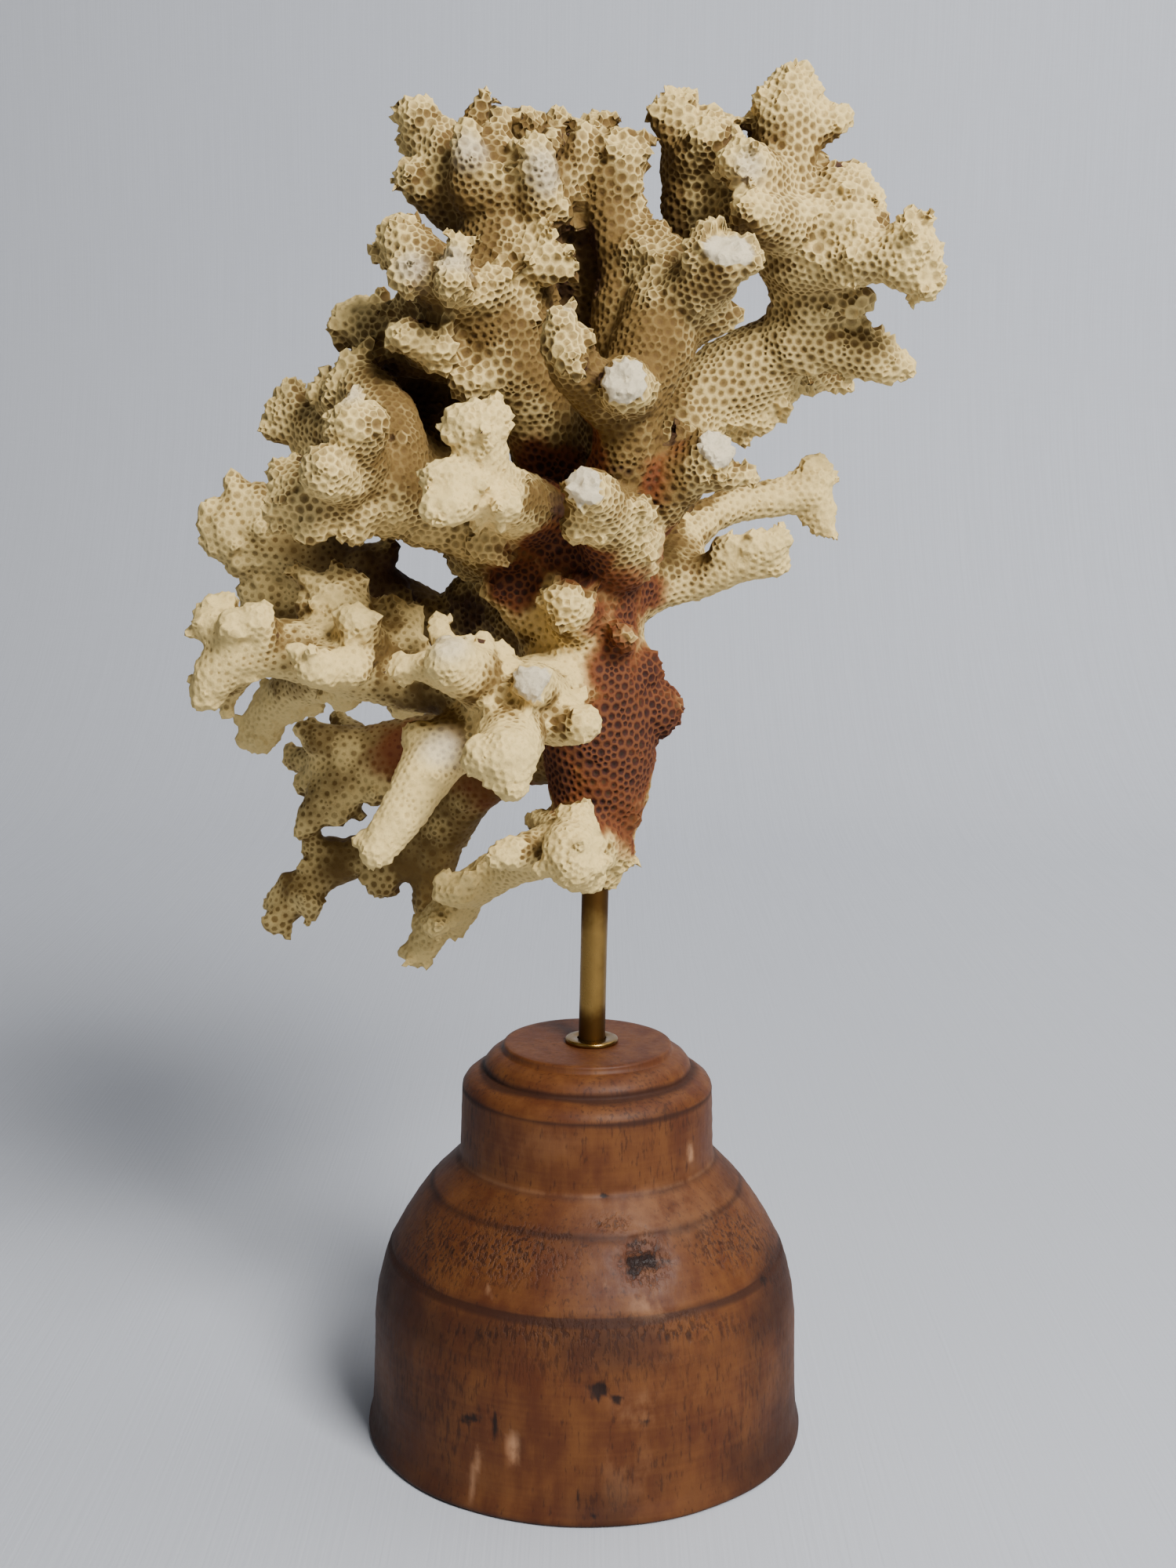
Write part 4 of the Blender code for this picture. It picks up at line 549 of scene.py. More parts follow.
@dataclass
class Nodes:
    """Short hand for laying out one material's nodes."""

    material: bpy.types.Material

    def __post_init__(self) -> None:
        """Clears the tree and adds the output and its shader."""
        self.material.use_nodes = True
        self.tree = self.material.node_tree
        self.tree.nodes.clear()
        self.output = self.tree.nodes.new("ShaderNodeOutputMaterial")
        self.shader = self.tree.nodes.new("ShaderNodeBsdfPrincipled")
        self.tree.links.new(self.shader.outputs[0], self.output.inputs[0])

    def add(self, kind: str, **settings: object) -> bpy.types.Node:
        """Adds a node with its settings and returns it."""
        node = self.tree.nodes.new("ShaderNode" + kind)
        for key, value in settings.items():
            setattr(node, key, value)
        return node

    def link(self, source: bpy.types.NodeSocket, target: bpy.types.NodeSocket) -> None:
        """Joins two sockets."""
        self.tree.links.new(source, target)

    def layer(self, name: str) -> bpy.types.NodeSocket:
        """Returns a painted layer's value."""
        return self.add("Attribute", attribute_name=name).outputs["Fac"]

    def noise(self, scale: float, detail: float = 4.0, stretch: tuple[float, float, float] = (1, 1, 1),
              rough: float = 0.55) -> bpy.types.NodeSocket:
        """Noise over the object's own coordinates.

        Args:
            scale: Lumps to the metre.
            detail: Number of finer layers.
            stretch: How the coordinates are scaled on each axis.
            rough: Weight of the finer layers.

        Returns:
            The noise's value.
        """
        place = self.add("TexCoord")
        mapping = self.add("Mapping")
        mapping.inputs["Scale"].default_value = stretch
        self.link(place.outputs["Object"], mapping.inputs["Vector"])
        texture = self.add("TexNoise")
        texture.inputs["Scale"].default_value = scale
        texture.inputs["Detail"].default_value = detail
        texture.inputs["Roughness"].default_value = rough
        self.link(mapping.outputs[0], texture.inputs["Vector"])
        return texture.outputs["Fac"]

    def math(self, operation: str, first: object, second: object) -> bpy.types.NodeSocket:
        """Does arithmetic on two sockets or numbers.

        Args:
            operation: The node's operation.
            first: Socket or number.
            second: Socket or number.

        Returns:
            The result.
        """
        node = self.add("Math", operation=operation)
        for slot, value in enumerate((first, second)):
            if isinstance(value, bpy.types.NodeSocket):
                self.link(value, node.inputs[slot])
            else:
                node.inputs[slot].default_value = value
        return node.outputs[0]

    def plus(self, first: object, second: object) -> bpy.types.NodeSocket:
        """Adds two sockets or numbers and returns the sum."""
        return self.math("ADD", first, second)

    def times(self, first: object, second: object) -> bpy.types.NodeSocket:
        """Multiplies two sockets or numbers and returns the product."""
        return self.math("MULTIPLY", first, second)

    def swing(self, value: bpy.types.NodeSocket, size: float) -> bpy.types.NodeSocket:
        """Returns how far a noise is from its middle, times a size."""
        return self.times(self.math("SUBTRACT", value, 0.5), size)

    def ramp(self, value: bpy.types.NodeSocket, low: float, high: float) -> bpy.types.NodeSocket:
        """Eases a value from 0 at low to 1 at high and returns it."""
        node = self.add("MapRange", interpolation_type="SMOOTHSTEP", clamp=True)
        node.inputs["From Min"].default_value = low
        node.inputs["From Max"].default_value = high
        self.link(value, node.inputs["Value"])
        return node.outputs[0]

    def mix(self, share: object, first: object, second: object) -> bpy.types.NodeSocket:
        """Mixes two colours.

        Args:
            share: Socket or number, 0 for the first colour and 1 for the second.
            first: Socket or colour.
            second: Socket or colour.

        Returns:
            The mixed colour.
        """
        node = self.add("Mix", data_type="RGBA")
        for slot, value in ((0, share), (6, first), (7, second)):
            if isinstance(value, bpy.types.NodeSocket):
                self.link(value, node.inputs[slot])
            else:
                node.inputs[slot].default_value = value if slot == 0 else (*value, 1.0)
        return node.outputs[2]

    def bump(self, height: bpy.types.NodeSocket, distance: float, strength: float = 1.0) -> None:
        """Raises the surface by a height.

        Args:
            height: The height's socket.
            distance: Height of a value of 1, in metres.
            strength: Share of it that shows.
        """
        node = self.add("Bump")
        node.inputs["Distance"].default_value = distance
        node.inputs["Strength"].default_value = strength
        self.link(height, node.inputs["Height"])
        self.link(node.outputs[0], self.shader.inputs["Normal"])


@dataclass(frozen=True)
class CoralFinish:
    """Bleached aragonite: cream tips, tan flanks, a rust-red core, brown dirt and painted shade in its
    hollows, painted shade in its pores and a painted highlight on their walls.
    """

    cream: tuple[float, float, float] = (0.70, 0.515, 0.195)
    tan: tuple[float, float, float] = (0.142, 0.080, 0.017)
    olive: tuple[float, float, float] = (0.056, 0.023, 0.009)
    # hollow is painted shade inside the pores.
    hollow: tuple[float, float, float] = (0.095, 0.048, 0.011)
    shade_and_stain_black: tuple[float, float, float] = (0.016, 0.006, 0.003)
    rust: tuple[float, float, float] = (0.170, 0.038, 0.004)
    maroon: tuple[float, float, float] = (0.042, 0.008, 0.003)
    blush: tuple[float, float, float] = (0.190, 0.064, 0.017)
    chalk: tuple[float, float, float] = (0.58, 0.49, 0.32)
    roughness: float = 0.82
    specular: float = 0.3
    wall_highlight: float = 0.28
    pit_strength: float = 0.62
    pale_pits: float = 0.20
    heavy_pits: float = 0.28
    speckle: float = 0.22
    grain_height: float = 0.00016

    def make(self) -> bpy.types.Material:
        """Makes the material and returns it."""
        lay = Nodes(bpy.data.materials.new("coral_skeleton"))
        patchy = lay.noise(210.0, 5.0)
        broad = lay.noise(55.0, 3.0)
        grain = lay.noise(1900.0, 3.0, rough=0.65)
        pale = lay.plus(lay.layer("pale"), lay.swing(patchy, 0.7))
        # Painted shade in the hollows, with real dirt, from the layer painted on the skin.
        shade_and_dirt = lay.plus(lay.layer("shade_and_dirt"), lay.swing(broad, 0.8))
        stain = lay.plus(lay.layer("stain"), lay.swing(patchy, 0.8))
        # Painted highlight: the pores' walls are made paler than their insides.
        walls = lay.math("SUBTRACT", 1.0, lay.ramp(lay.layer("pit"), 0.04, 0.18))
        pale = lay.plus(pale, lay.times(walls, self.wall_highlight))
        colour = lay.mix(lay.ramp(pale, 0.15, 0.95), self.tan, self.cream)
        # Olive where dirt and painted shade are deep.
        colour = lay.mix(lay.ramp(shade_and_dirt, 0.25, 0.95), colour, self.olive)
        colour = lay.mix(lay.ramp(stain, 0.10, 0.80), colour, self.rust)
        colour = lay.mix(lay.ramp(stain, 0.44, 0.98), colour, self.maroon)
        stained = lay.times(lay.times(walls, 0.55), lay.ramp(stain, 0.3, 0.9))
        colour = lay.mix(stained, colour, self.blush)
        # The deepest painted shade with dirt goes almost black.
        colour = lay.mix(lay.ramp(shade_and_dirt, 0.95, 1.7), colour, self.shade_and_stain_black)
        colour = lay.mix(lay.ramp(lay.layer("chalk"), 0.0, 0.16), colour, self.chalk)
        speckle = lay.times(lay.ramp(grain, 0.52, 0.72), self.speckle)
        colour = lay.mix(speckle, colour, self.olive)
        # Painted shade inside the pores: darker towards each pore's floor, darkest where dirt, painted shade
        # and stain are heavy.
        pit = lay.ramp(lay.layer("pit"), 0.18, 0.80)
        heavy = lay.plus(shade_and_dirt, lay.times(stain, 0.9))
        depth = lay.mix(lay.ramp(heavy, 0.3, 1.0), self.hollow, self.shade_and_stain_black)
        lighter = lay.times(lay.ramp(pale, 0.1, 1.0), self.pale_pits)
        strength = lay.math("SUBTRACT", self.pit_strength, lighter)
        strength = lay.plus(strength, lay.times(lay.ramp(heavy, 0.2, 0.9), self.heavy_pits))
        colour = lay.mix(lay.times(pit, strength), colour, depth)
        lay.link(colour, lay.shader.inputs["Base Color"])
        lay.shader.inputs["Roughness"].default_value = self.roughness
        lay.shader.inputs["Specular IOR Level"].default_value = self.specular
        lay.bump(grain, self.grain_height, 0.8)
        return lay.material


@dataclass(frozen=True)
class Break:
    """A place where a tip was broken or worn flat."""

    across: float
    down: float
    toward: float
    facing: tuple[float, float, float]
    radius: float
    kind: Face = Face.BROKEN


# Broken and worn faces: across, down, towards the viewer, facing and radius in millimetres.
BREAKS = (
    Break(745, 618, 34.0, (-0.15, -0.95, 0.25), 4.0),
    Break(797, 488, 32.5, (-0.05, -0.97, 0.2), 4.9),
    Break(915, 572, 18.0, (0.35, -0.75, 0.5), 4.0),
    Break(677, 870, 35.0, (-0.1, -0.95, 0.1), 3.6),
    Break(930, 318, 25.0, (0.1, -0.6, 0.75), 4.4),
    Break(594, 176, 14.0, (-0.1, -0.8, 0.5), 3.6, Face.WORN),
    Break(690, 192, 17.0, (0.0, -0.8, 0.5), 3.8, Face.WORN),
    Break(696, 218, 16.0, (0.0, -0.9, 0.3), 3.2, Face.WORN),
    Break(521, 338, 20.5, (-0.3, -0.9, 0.2), 3.6, Face.WORN),
    Break(580, 335, 22.0, (-0.1, -0.9, 0.2), 3.4, Face.WORN),
    Break(712, 410, 26.0, (0.0, -0.9, 0.3), 2.8, Face.WORN),
    Break(445, 500, 30.0, (0.0, -0.9, 0.3), 3.4, Face.WORN),
    Break(560, 800, 34.0, (-0.1, -0.8, 0.5), 4.2, Face.WORN),
    Break(1130, 345, 18.0, (0.3, -0.9, 0.2), 3.4, Face.WORN),
    Break(1045, 640, 14.0, (0.5, -0.8, 0.3), 3.6, Face.WORN),
    Break(955, 208, 9.0, (-0.1, -0.9, 0.3), 3.4, Face.WORN),
    Break(575, 825, 37.0, (-0.1, -0.9, 0.3), 3.8, Face.WORN),
    Break(560, 955, 27.0, (-0.2, -0.9, 0.3), 4.6, Face.WORN),
)

# How bleached each limb is. 1 is bleached white, and below 0 it is stained brown.
BLEACH = {
    "coral_trunk": 0.15,
    "coral_centre_limb": -0.04,
    "coral_left_crown_limb": 0.12,
    "coral_mid_left_limb": 0.30,
    "coral_front_centre_limb": 0.70,
    "coral_upper_left_limb": 0.14,
    "coral_rear_left_limb": 0.00,
    "coral_front_left_limb": 0.64,
    "coral_long_left_limb": 0.45,
    "coral_lower_front_limb": 0.60,
    "coral_lower_left_limb": -0.20,
    "coral_lower_rear_limb": 0.04,
    "coral_right_arms": 0.72,
    "coral_right_crown_limb": 0.34,
}

# How far each limb's pores are worn away, from 0 to 1.
WEAR = {
    "coral_trunk": 0.10,
    "coral_centre_limb": 0.20,
    "coral_left_crown_limb": 0.12,
    "coral_mid_left_limb": 0.40,
    "coral_front_centre_limb": 0.52,
    "coral_upper_left_limb": 0.34,
    "coral_rear_left_limb": 0.85,
    "coral_front_left_limb": 0.70,
    "coral_long_left_limb": 0.78,
    "coral_lower_front_limb": 0.62,
    "coral_lower_left_limb": 0.98,
    "coral_lower_rear_limb": 0.95,
    "coral_right_arms": 0.55,
    "coral_right_crown_limb": 0.15,
}

# Levels of a limb that the two tables above leave out.
PLAIN_LEVEL = 0.35
PLAIN_WEAR = 0.3

# See-through openings that no nub grows into: across, down and reach in the view.
OPENINGS = (
    (841, 222, 27),
    (841, 255, 27),
    (841, 290, 27),
    (950, 385, 42),
    (905, 695, 26),
    (541, 726, 44),
    (463, 905, 38),
    (650, 1050, 50),
)


@dataclass
class Skeleton:
    """The coral's middle lines, as short tapered lengths with the limb each belongs to."""

    limbs: dict[str, dict[str, tuple]] = field(default_factory=lambda: LIMBS)
    trim: float = 0.28
    nubs_per_mm: float = 0.14
    tip_nubs: float = 2.8
    full_radius: float = 4.0
    nub_tilt: tuple[float, float] = (0.2, 1.3)
    nub_size: tuple[float, float] = (0.75, 1.40)
    nub_rise: tuple[float, float] = (0.8, 2.8)
    nub_taper: tuple[float, float] = (0.6, 0.9)
    nub_seat: float = 1.1
    blend: float = 2.5
    seed: int = 12

    def __post_init__(self) -> None:
        """Places every station."""
        starts, ends, start_radii, end_radii, owners, tips, tip_radii = [], [], [], [], [], [], []
        for owner, branches in enumerate(self.limbs.values()):
            for stations in branches.values():
                points = [VIEW.point(*row[:3]) for row in stations]
                for here in range(len(points) - 1):
                    starts.append(points[here])
                    ends.append(points[here + 1])
                    start_radii.append(stations[here][3])
                    end_radii.append(stations[here + 1][3])
                    owners.append(owner)
                tips.append(points[-1])
                tip_radii.append(stations[-1][3])
        self.starts, self.ends = np.array(starts), np.array(ends)
        self.start_radii, self.end_radii = np.array(start_radii), np.array(end_radii)
        self.owners = np.array(owners)
        self.tips, self.tip_radii = np.array(tips), np.array(tip_radii)
        self.start_radii -= self.trim
        self.end_radii -= self.trim
        self.sprout()

    def sprout(self) -> None:
        """Grows short nubs on every branch, most of them on and behind its tip."""
        maker = np.random.default_rng(self.seed)
        roots, peaks, root_radii, peak_radii = [], [], [], []
        tip_rows = {tuple(tip) for tip in self.tips.tolist()}
        smooth = [WEAR.get(limb, PLAIN_WEAR) for limb in self.limbs]
        rows = zip(self.starts, self.ends, self.start_radii, self.end_radii, self.owners)
        for start, end, r0, r1, owner in rows:
            length = np.linalg.norm(end - start)
            way = (end - start) / length
            at_tip = tuple(end.tolist()) in tip_rows
            crowd = length * self.nubs_per_mm * min(1.0, r1 / self.full_radius)
            crowd += self.tip_nubs if at_tip else 0.0
            crowd *= 1.35 - 0.55 * smooth[owner]
            for _ in range(int(maker.poisson(crowd))):
                share = maker.uniform(0.55, 1.0) if at_tip else maker.uniform(0.1, 1.0)
                lean = maker.normal(size=3)
                lean = unit_rows((lean - way * (lean @ way))[None])[0]
                radius = r0 + (r1 - r0) * share
                out = unit_rows((lean + way * maker.uniform(*self.nub_tilt))[None])[0]
                size = min(maker.uniform(*self.nub_size) + 0.25 * smooth[owner], radius * 0.5)
                root = start + (end - start) * share + lean * (radius - size * self.nub_seat)
                rise = size * self.nub_seat + maker.uniform(*self.nub_rise) - 0.8 * smooth[owner]
                peak = root + out * rise
                peak_radius = size * (maker.uniform(*self.nub_taper) + 0.15 * smooth[owner])
                seen = VIEW.project(peak[None])[0]
                if any(math.hypot(seen[0] - x, seen[1] - y) < reach for x, y, reach in OPENINGS):
                    continue
                roots.append(root)
                peaks.append(peak)
                root_radii.append(size * 1.15)
                peak_radii.append(peak_radius)
        self.roots, self.peaks = np.array(roots), np.array(peaks)
        self.root_radii, self.peak_radii = np.array(root_radii), np.array(peak_radii)

    def depths(self, points: np.ndarray) -> np.ndarray:
        """How far points are outside each limb.

        Args:
            points: Rows of x, y, z in millimetres.

        Returns:
            One row for each point, with one distance for each limb.
        """
        line = self.ends - self.starts
        length = np.maximum((line ** 2).sum(1), 1e-9)
        found = np.full((len(points), len(self.limbs)), 1e9)
        for owner in range(len(self.limbs)):
            mine = np.flatnonzero(self.owners == owner)
            away = points[:, None, :] - self.starts[None, mine, :]
            along = np.clip((away * line[None, mine, :]).sum(2) / length[mine], 0.0, 1.0)
            gap = np.linalg.norm(away - along[..., None] * line[None, mine, :], axis=2)
            radius = self.start_radii[mine] + (self.end_radii[mine] - self.start_radii[mine]) * along
            found[:, owner] = (gap - radius).min(1)
        return found

    def eased(self, depths: np.ndarray, levels: dict[str, float]) -> np.ndarray:
        """A level that each limb has of its own, eased from limb to limb.

        Args:
            depths: One row for each point, with its distance outside each limb.
            levels: The level of each limb.

        Returns:
            One value for each point, between the levels of the limbs near it.
        """
        own = np.array([levels.get(limb, PLAIN_LEVEL) for limb in self.limbs])
        near = np.exp(-(depths - depths.min(1, keepdims=True)) / self.blend)
        return (near * own).sum(1) / near.sum(1)

    def tipness(self, points: np.ndarray, fade: float, nubs: bool = False) -> np.ndarray:
        """How close points are to a branch's tip, from 0 to 1.

        Args:
            points: Rows of x, y, z in millimetres.
            fade: How far behind a tip it fades out, in millimetres.
            nubs: Whether the nubs' tips count too.

        Returns:
            One value for each point.
        """
        best = np.zeros(len(points))
        tips, radii = self.tips, self.tip_radii
        if nubs:
            tips, radii = np.concatenate([tips, self.peaks]), np.concatenate([radii, self.peak_radii])
        for tip, radius in zip(tips, radii):
            reach = np.linalg.norm(points - tip, axis=1)
            best = np.maximum(best, 1.0 - smoothstep(reach, radius * 0.7, radius + fade))
        return best


@dataclass
class Skin:
    """A closed triangle mesh in numpy, in millimetres."""

    verts: np.ndarray
    tris: np.ndarray

    def normals(self) -> np.ndarray:
        """Returns a unit normal for each vertex."""
        a, b, c = (self.verts[self.tris[:, k]] for k in range(3))
        flat = np.cross(b - a, c - a)
        total = np.zeros_like(self.verts)
        for k in range(3):
            for axis in range(3):
                total[:, axis] += np.bincount(self.tris[:, k], flat[:, axis], len(self.verts))
        return unit_rows(total)

    def edges(self) -> np.ndarray:
        """Returns each edge once, as two vertex numbers."""
        pairs = np.concatenate([self.tris[:, [0, 1]], self.tris[:, [1, 2]], self.tris[:, [2, 0]]])
        return np.unique(np.sort(pairs, axis=1), axis=0)

    def neighbour_means(self, edges: np.ndarray) -> np.ndarray:
        """The middle of each vertex's neighbours.

        Args:
            edges: The edges.

        Returns:
            One row for each vertex.
        """
        total = np.zeros_like(self.verts)
        count = np.zeros(len(self.verts))
        for here, other in ((0, 1), (1, 0)):
            for axis in range(3):
                total[:, axis] += np.bincount(edges[:, here], self.verts[edges[:, other], axis], len(total))
            count += np.bincount(edges[:, here], minlength=len(total))
        return total / np.maximum(count, 1.0)[:, None]

    def tree(self) -> BVHTree:
        """Returns a search tree of the triangles."""
        return BVHTree.FromPolygons(self.verts.tolist(), self.tris.tolist())


@dataclass
class PoredCoral:
    """The whole coral skeleton: its skin, its net of pores, and the limbs it is split into.

    Sizes are in millimetres.
    """

    skeleton: Skeleton = field(default_factory=Skeleton)
    bar_sides: int = 28
    fine_voxel: float = 0.55
    pitch: float = 1.88
    net_voxel_share: float = 0.93
    net_shake: float = 0.22
    fillet_rounds: int = 5
    relax_rounds: int = 8
    relax_share: float = 0.75
    lump_height: float = 0.60
    lumps: tuple[tuple[float, float, float], ...] = ((7.0, 3.7, 0.6), (3.1, 11.3, 0.55), (1.6, 23.1, 0.3))
    lip_share: float = 0.59
    tip_lip: float = 0.17
    longest_spoke: float = 3.6
    own_reach: float = 0.35
    mean_reach: float = 0.65
    between_reach: float = 0.97
    lip_sink: float = 0.10
    lip_pit: float = 0.15
    hub_sink: float = 1.15
    pore_depth: float = 0.62
    shallow: float = 0.62
    jag: float = 0.13
    sky_rays: int = 14
    sky_reach: float = 16.0
    sky_lift: float = 0.6
    tip_pale: float = 0.46
    bleach_pale: float = 0.9
    plain_bleach: float = 0.3
    # Painted light and shade: open places are made paler and enclosed ones darker.
    sky_pale: float = 2.3
    plain_sky: float = 0.83
    rubbed_pale: float = 1.2
    palest: float = 1.25
    # Painted shade in enclosed places, with real dirt: the less open sky, the darker.
    full_shade_and_dirt: float = 1.40
    sky_lightening: float = 1.65
    bleach_clean: float = 0.28
    rubbed_clean: float = 1.3
    deepest_shade_and_dirt: float = 1.05
    net_seed: int = 7
    sky_seed: int = 5
    wall_seed: int = 3

    def unit_ball(self) -> tuple[np.ndarray, np.ndarray]:
        """Makes a ball of radius 1.

        Returns:
            Its vertices and its triangles.
        """
        bm = bmesh.new()
        bmesh.ops.create_icosphere(bm, subdivisions=3, radius=1.0)
        bm.verts.ensure_lookup_table()
        verts = np.array([v.co for v in bm.verts])
        tris = np.array([[v.index for v in f.verts] for f in bm.faces])
        bm.free()
        return verts, tris

    def raw_body(self) -> bpy.types.Object:
        """Joins balls and tapers along every branch and returns them as one object."""
        ball, ball_tris = self.unit_ball()
        sides = self.bar_sides
        angles = np.arange(sides) * (2.0 * math.pi / sides)
        around = np.arange(sides)
        after = (around + 1) % sides
        walls = np.concatenate([
            np.stack([around, after, after + sides], axis=1),
            np.stack([around, after + sides, around + sides], axis=1),
            np.stack([np.full(sides, 2 * sides), after, around], axis=1),
            np.stack([np.full(sides, 2 * sides + 1), around + sides, after + sides], axis=1),
        ])
        verts, tris, total = [], [], 0
        bone = self.skeleton
        starts, ends = np.concatenate([bone.starts, bone.roots]), np.concatenate([bone.ends, bone.peaks])
        start_radii = np.concatenate([bone.start_radii, bone.root_radii])
        end_radii = np.concatenate([bone.end_radii, bone.peak_radii])
        for points, radii in ((starts, start_radii), (ends, end_radii)):
            for point, radius in zip(points, radii):
                verts.append(ball * radius + point)
                tris.append(ball_tris + total)
                total += len(ball)
        for start, end, r0, r1 in zip(starts, ends, start_radii, end_radii):
            way = (end - start) / np.linalg.norm(end - start)
            side = np.cross(way, (0.0, 0.0, 1.0) if abs(way[2]) < 0.9 else (1.0, 0.0, 0.0))
            side /= np.linalg.norm(side)
            other = np.cross(way, side)
            ring = np.cos(angles)[:, None] * side + np.sin(angles)[:, None] * other
            verts.append(np.concatenate([start + ring * r0, end + ring * r1, start[None], end[None]]))
            tris.append(walls + total)
            total += 2 * sides + 2
        mesh = bpy.data.meshes.new("raw_coral")
        mesh.from_pydata(np.concatenate(verts).tolist(), [], np.concatenate(tris).tolist())
        body = bpy.data.objects.new("raw_coral", mesh)
        bpy.context.scene.collection.objects.link(body)
        return body

    def remeshed(self, body: bpy.types.Object, voxel: float) -> Skin:
        """Skins a body on a voxel grid.

        Args:
            body: The body, in millimetres.
            voxel: Size of a voxel.

        Returns:
            The skin in triangles.
        """
        body.modifiers.clear()
        skin = body.modifiers.new("Skin", "REMESH")
        skin.mode = "VOXEL"
        skin.voxel_size = voxel
        graph = bpy.context.evaluated_depsgraph_get()
        graph.update()
        mesh = bpy.data.meshes.new_from_object(body.evaluated_get(graph))
        bm = bmesh.new()
        bm.from_mesh(mesh)
        bmesh.ops.triangulate(bm, faces=bm.faces[:])
        bm.verts.ensure_lookup_table()
        verts = np.array([v.co for v in bm.verts])
        tris = np.array([[v.index for v in f.verts] for f in bm.faces])
        bm.free()
        bpy.data.meshes.remove(mesh)
        return Skin(verts, tris)

    def fillet(self, skin: Skin) -> None:
        """Fills the creases between branches, as the coral does, and leaves tips as they are."""
        edges = skin.edges()
        for turn in range(self.fillet_rounds):
            shift = skin.neighbour_means(edges) - skin.verts
            normals = skin.normals()
            rise = (shift * normals).sum(1)
            share = np.where(rise > 0.0, 0.85, 0.12 if turn < 4 else 0.0)
            along = shift - normals * rise[:, None]
            skin.verts += normals * (rise * share)[:, None] + along * 0.3

    def lump(self, points: np.ndarray, normals: np.ndarray) -> np.ndarray:
        """Raises and sinks points along their normals by slow noise and returns them."""
        height = sum(cloud(points, size, seed) * share for size, seed, share in self.lumps)
        return points + normals * (height * self.lump_height)[:, None]

    def even_net(self, fine: Skin, coarse: Skin) -> Skin:
        """Evens a coarse skin's triangles out over the fine skin.

        Args:
            fine: The skin to stay on.
            coarse: The skin to even out.

        Returns:
            The evened skin.
        """
        tree = fine.tree()
        maker = np.random.default_rng(self.net_seed)
        skin = Skin(coarse.verts + maker.normal(0.0, self.net_shake, coarse.verts.shape), coarse.tris)
        for _ in range(self.relax_rounds):
            skin = self.flipped(skin)
            edges = skin.edges()
            normals = skin.normals()
            shift = skin.neighbour_means(edges) - skin.verts
            shift -= normals * (shift * normals).sum(1)[:, None]
            moved = skin.verts + shift * self.relax_share
            skin.verts = np.array([tree.find_nearest(row)[0] for row in moved.tolist()])
        return skin

    def flipped(self, skin: Skin) -> Skin:
        """Turns edges where that makes rounder triangles, and returns the skin."""
        bm = bmesh.new()
        for row in skin.verts.tolist():
            bm.verts.new(row)
        bm.verts.ensure_lookup_table()
        bm.verts.index_update()
        for a, b, c in skin.tris.tolist():
            bm.faces.new((bm.verts[a], bm.verts[b], bm.verts[c]))
        bmesh.ops.beautify_fill(bm, faces=bm.faces[:], edges=bm.edges[:],
                                use_restrict_tag=False, method="ANGLE")
        tris = np.array([[v.index for v in f.verts] for f in bm.faces])
        bm.free()
        return Skin(skin.verts, tris)

    def open_sky(self, fine: Skin, points: np.ndarray, normals: np.ndarray) -> np.ndarray:
        """How open the surroundings of each point are, from 0 to 1.

        Args:
            fine: The skin that gets in the way.
            points: Rows of x, y, z.
            normals: One normal for each.

        Returns:
            One value for each point.
        """
        tree = fine.tree()
        maker = np.random.default_rng(self.sky_seed)
        rays = unit_rows(maker.normal(size=(self.sky_rays, 3)))
        lifted = points + normals * self.sky_lift
        seen = np.zeros(len(points))
        for ray in rays:
            facing = np.where((normals @ ray) < 0.0, -1.0, 1.0)
            steered = unit_rows(ray[None, :] * facing[:, None] + normals * 0.5)
            for k, (start, way) in enumerate(zip(lifted.tolist(), steered.tolist())):
                hit = tree.ray_cast(start, way, self.sky_reach)
                seen[k] += 1.0 if hit[0] is None else 0.6 * hit[3] / self.sky_reach
        return seen / self.sky_rays

    def patch_levels(self, points: np.ndarray, patches: tuple) -> np.ndarray:
        """How deep a set of patches is at each point, from 0 to about 1.3.

        Args:
            points: Rows of x, y, z.
            patches: The patches, from one of the tables of stains, painted shade with growth, and rubbed
                places.

        Returns:
            One value for each point.
        """
        total = np.zeros(len(points))
        uneven = 1.0 + 0.30 * cloud(points, 6.0, 41.0) + 0.22 * cloud(points, 2.6, 43.0)
        for across, down, toward, reach, depth in patches:
            gap = np.linalg.norm(points - VIEW.point(across, down, toward), axis=1) * uneven
            total = np.maximum(total, depth * (1.0 - smoothstep(gap, reach * 0.15, reach * 1.15)))
        return total

    def break_faces(self, points: np.ndarray) -> tuple[np.ndarray, np.ndarray]:
        """Cuts broken tips flat, and marks broken and worn faces.

        Args:
            points: Rows of x, y, z.

        Returns:
            The moved points, and how broken each one is.
        """
        points = points.copy()
        broken = np.zeros(len(points))
        for cut in BREAKS:
            centre = VIEW.point(cut.across, cut.down, cut.toward)
            facing = np.array(cut.facing) / np.linalg.norm(cut.facing)
            away = points - centre
            height = away @ facing
            flat = np.linalg.norm(away - height[:, None] * facing, axis=1)
            edge = cut.radius * (1.05 + 0.10 * cloud(points, 2.4, 37.0))
            if cut.kind is Face.WORN:
                fade = 0.10 * (1.0 - smoothstep(flat, edge * 0.2, edge * 1.3))
                broken = np.maximum(broken, fade * (np.abs(height) < cut.radius * 1.6))
                continue
            rough = cloud(points, 1.3, 31.0) * 0.35
            near = (flat < edge * 1.1) & (height > rough) & (height < cut.radius * 2.5)
            points[near] -= facing * (height - rough)[near][:, None]
            mark = (height > -1.2) & (height < cut.radius * 2.5)
            broken[mark] = np.maximum(broken[mark], 1.0 - flat[mark] / edge[mark])
        return points, np.maximum(broken, 0.0)

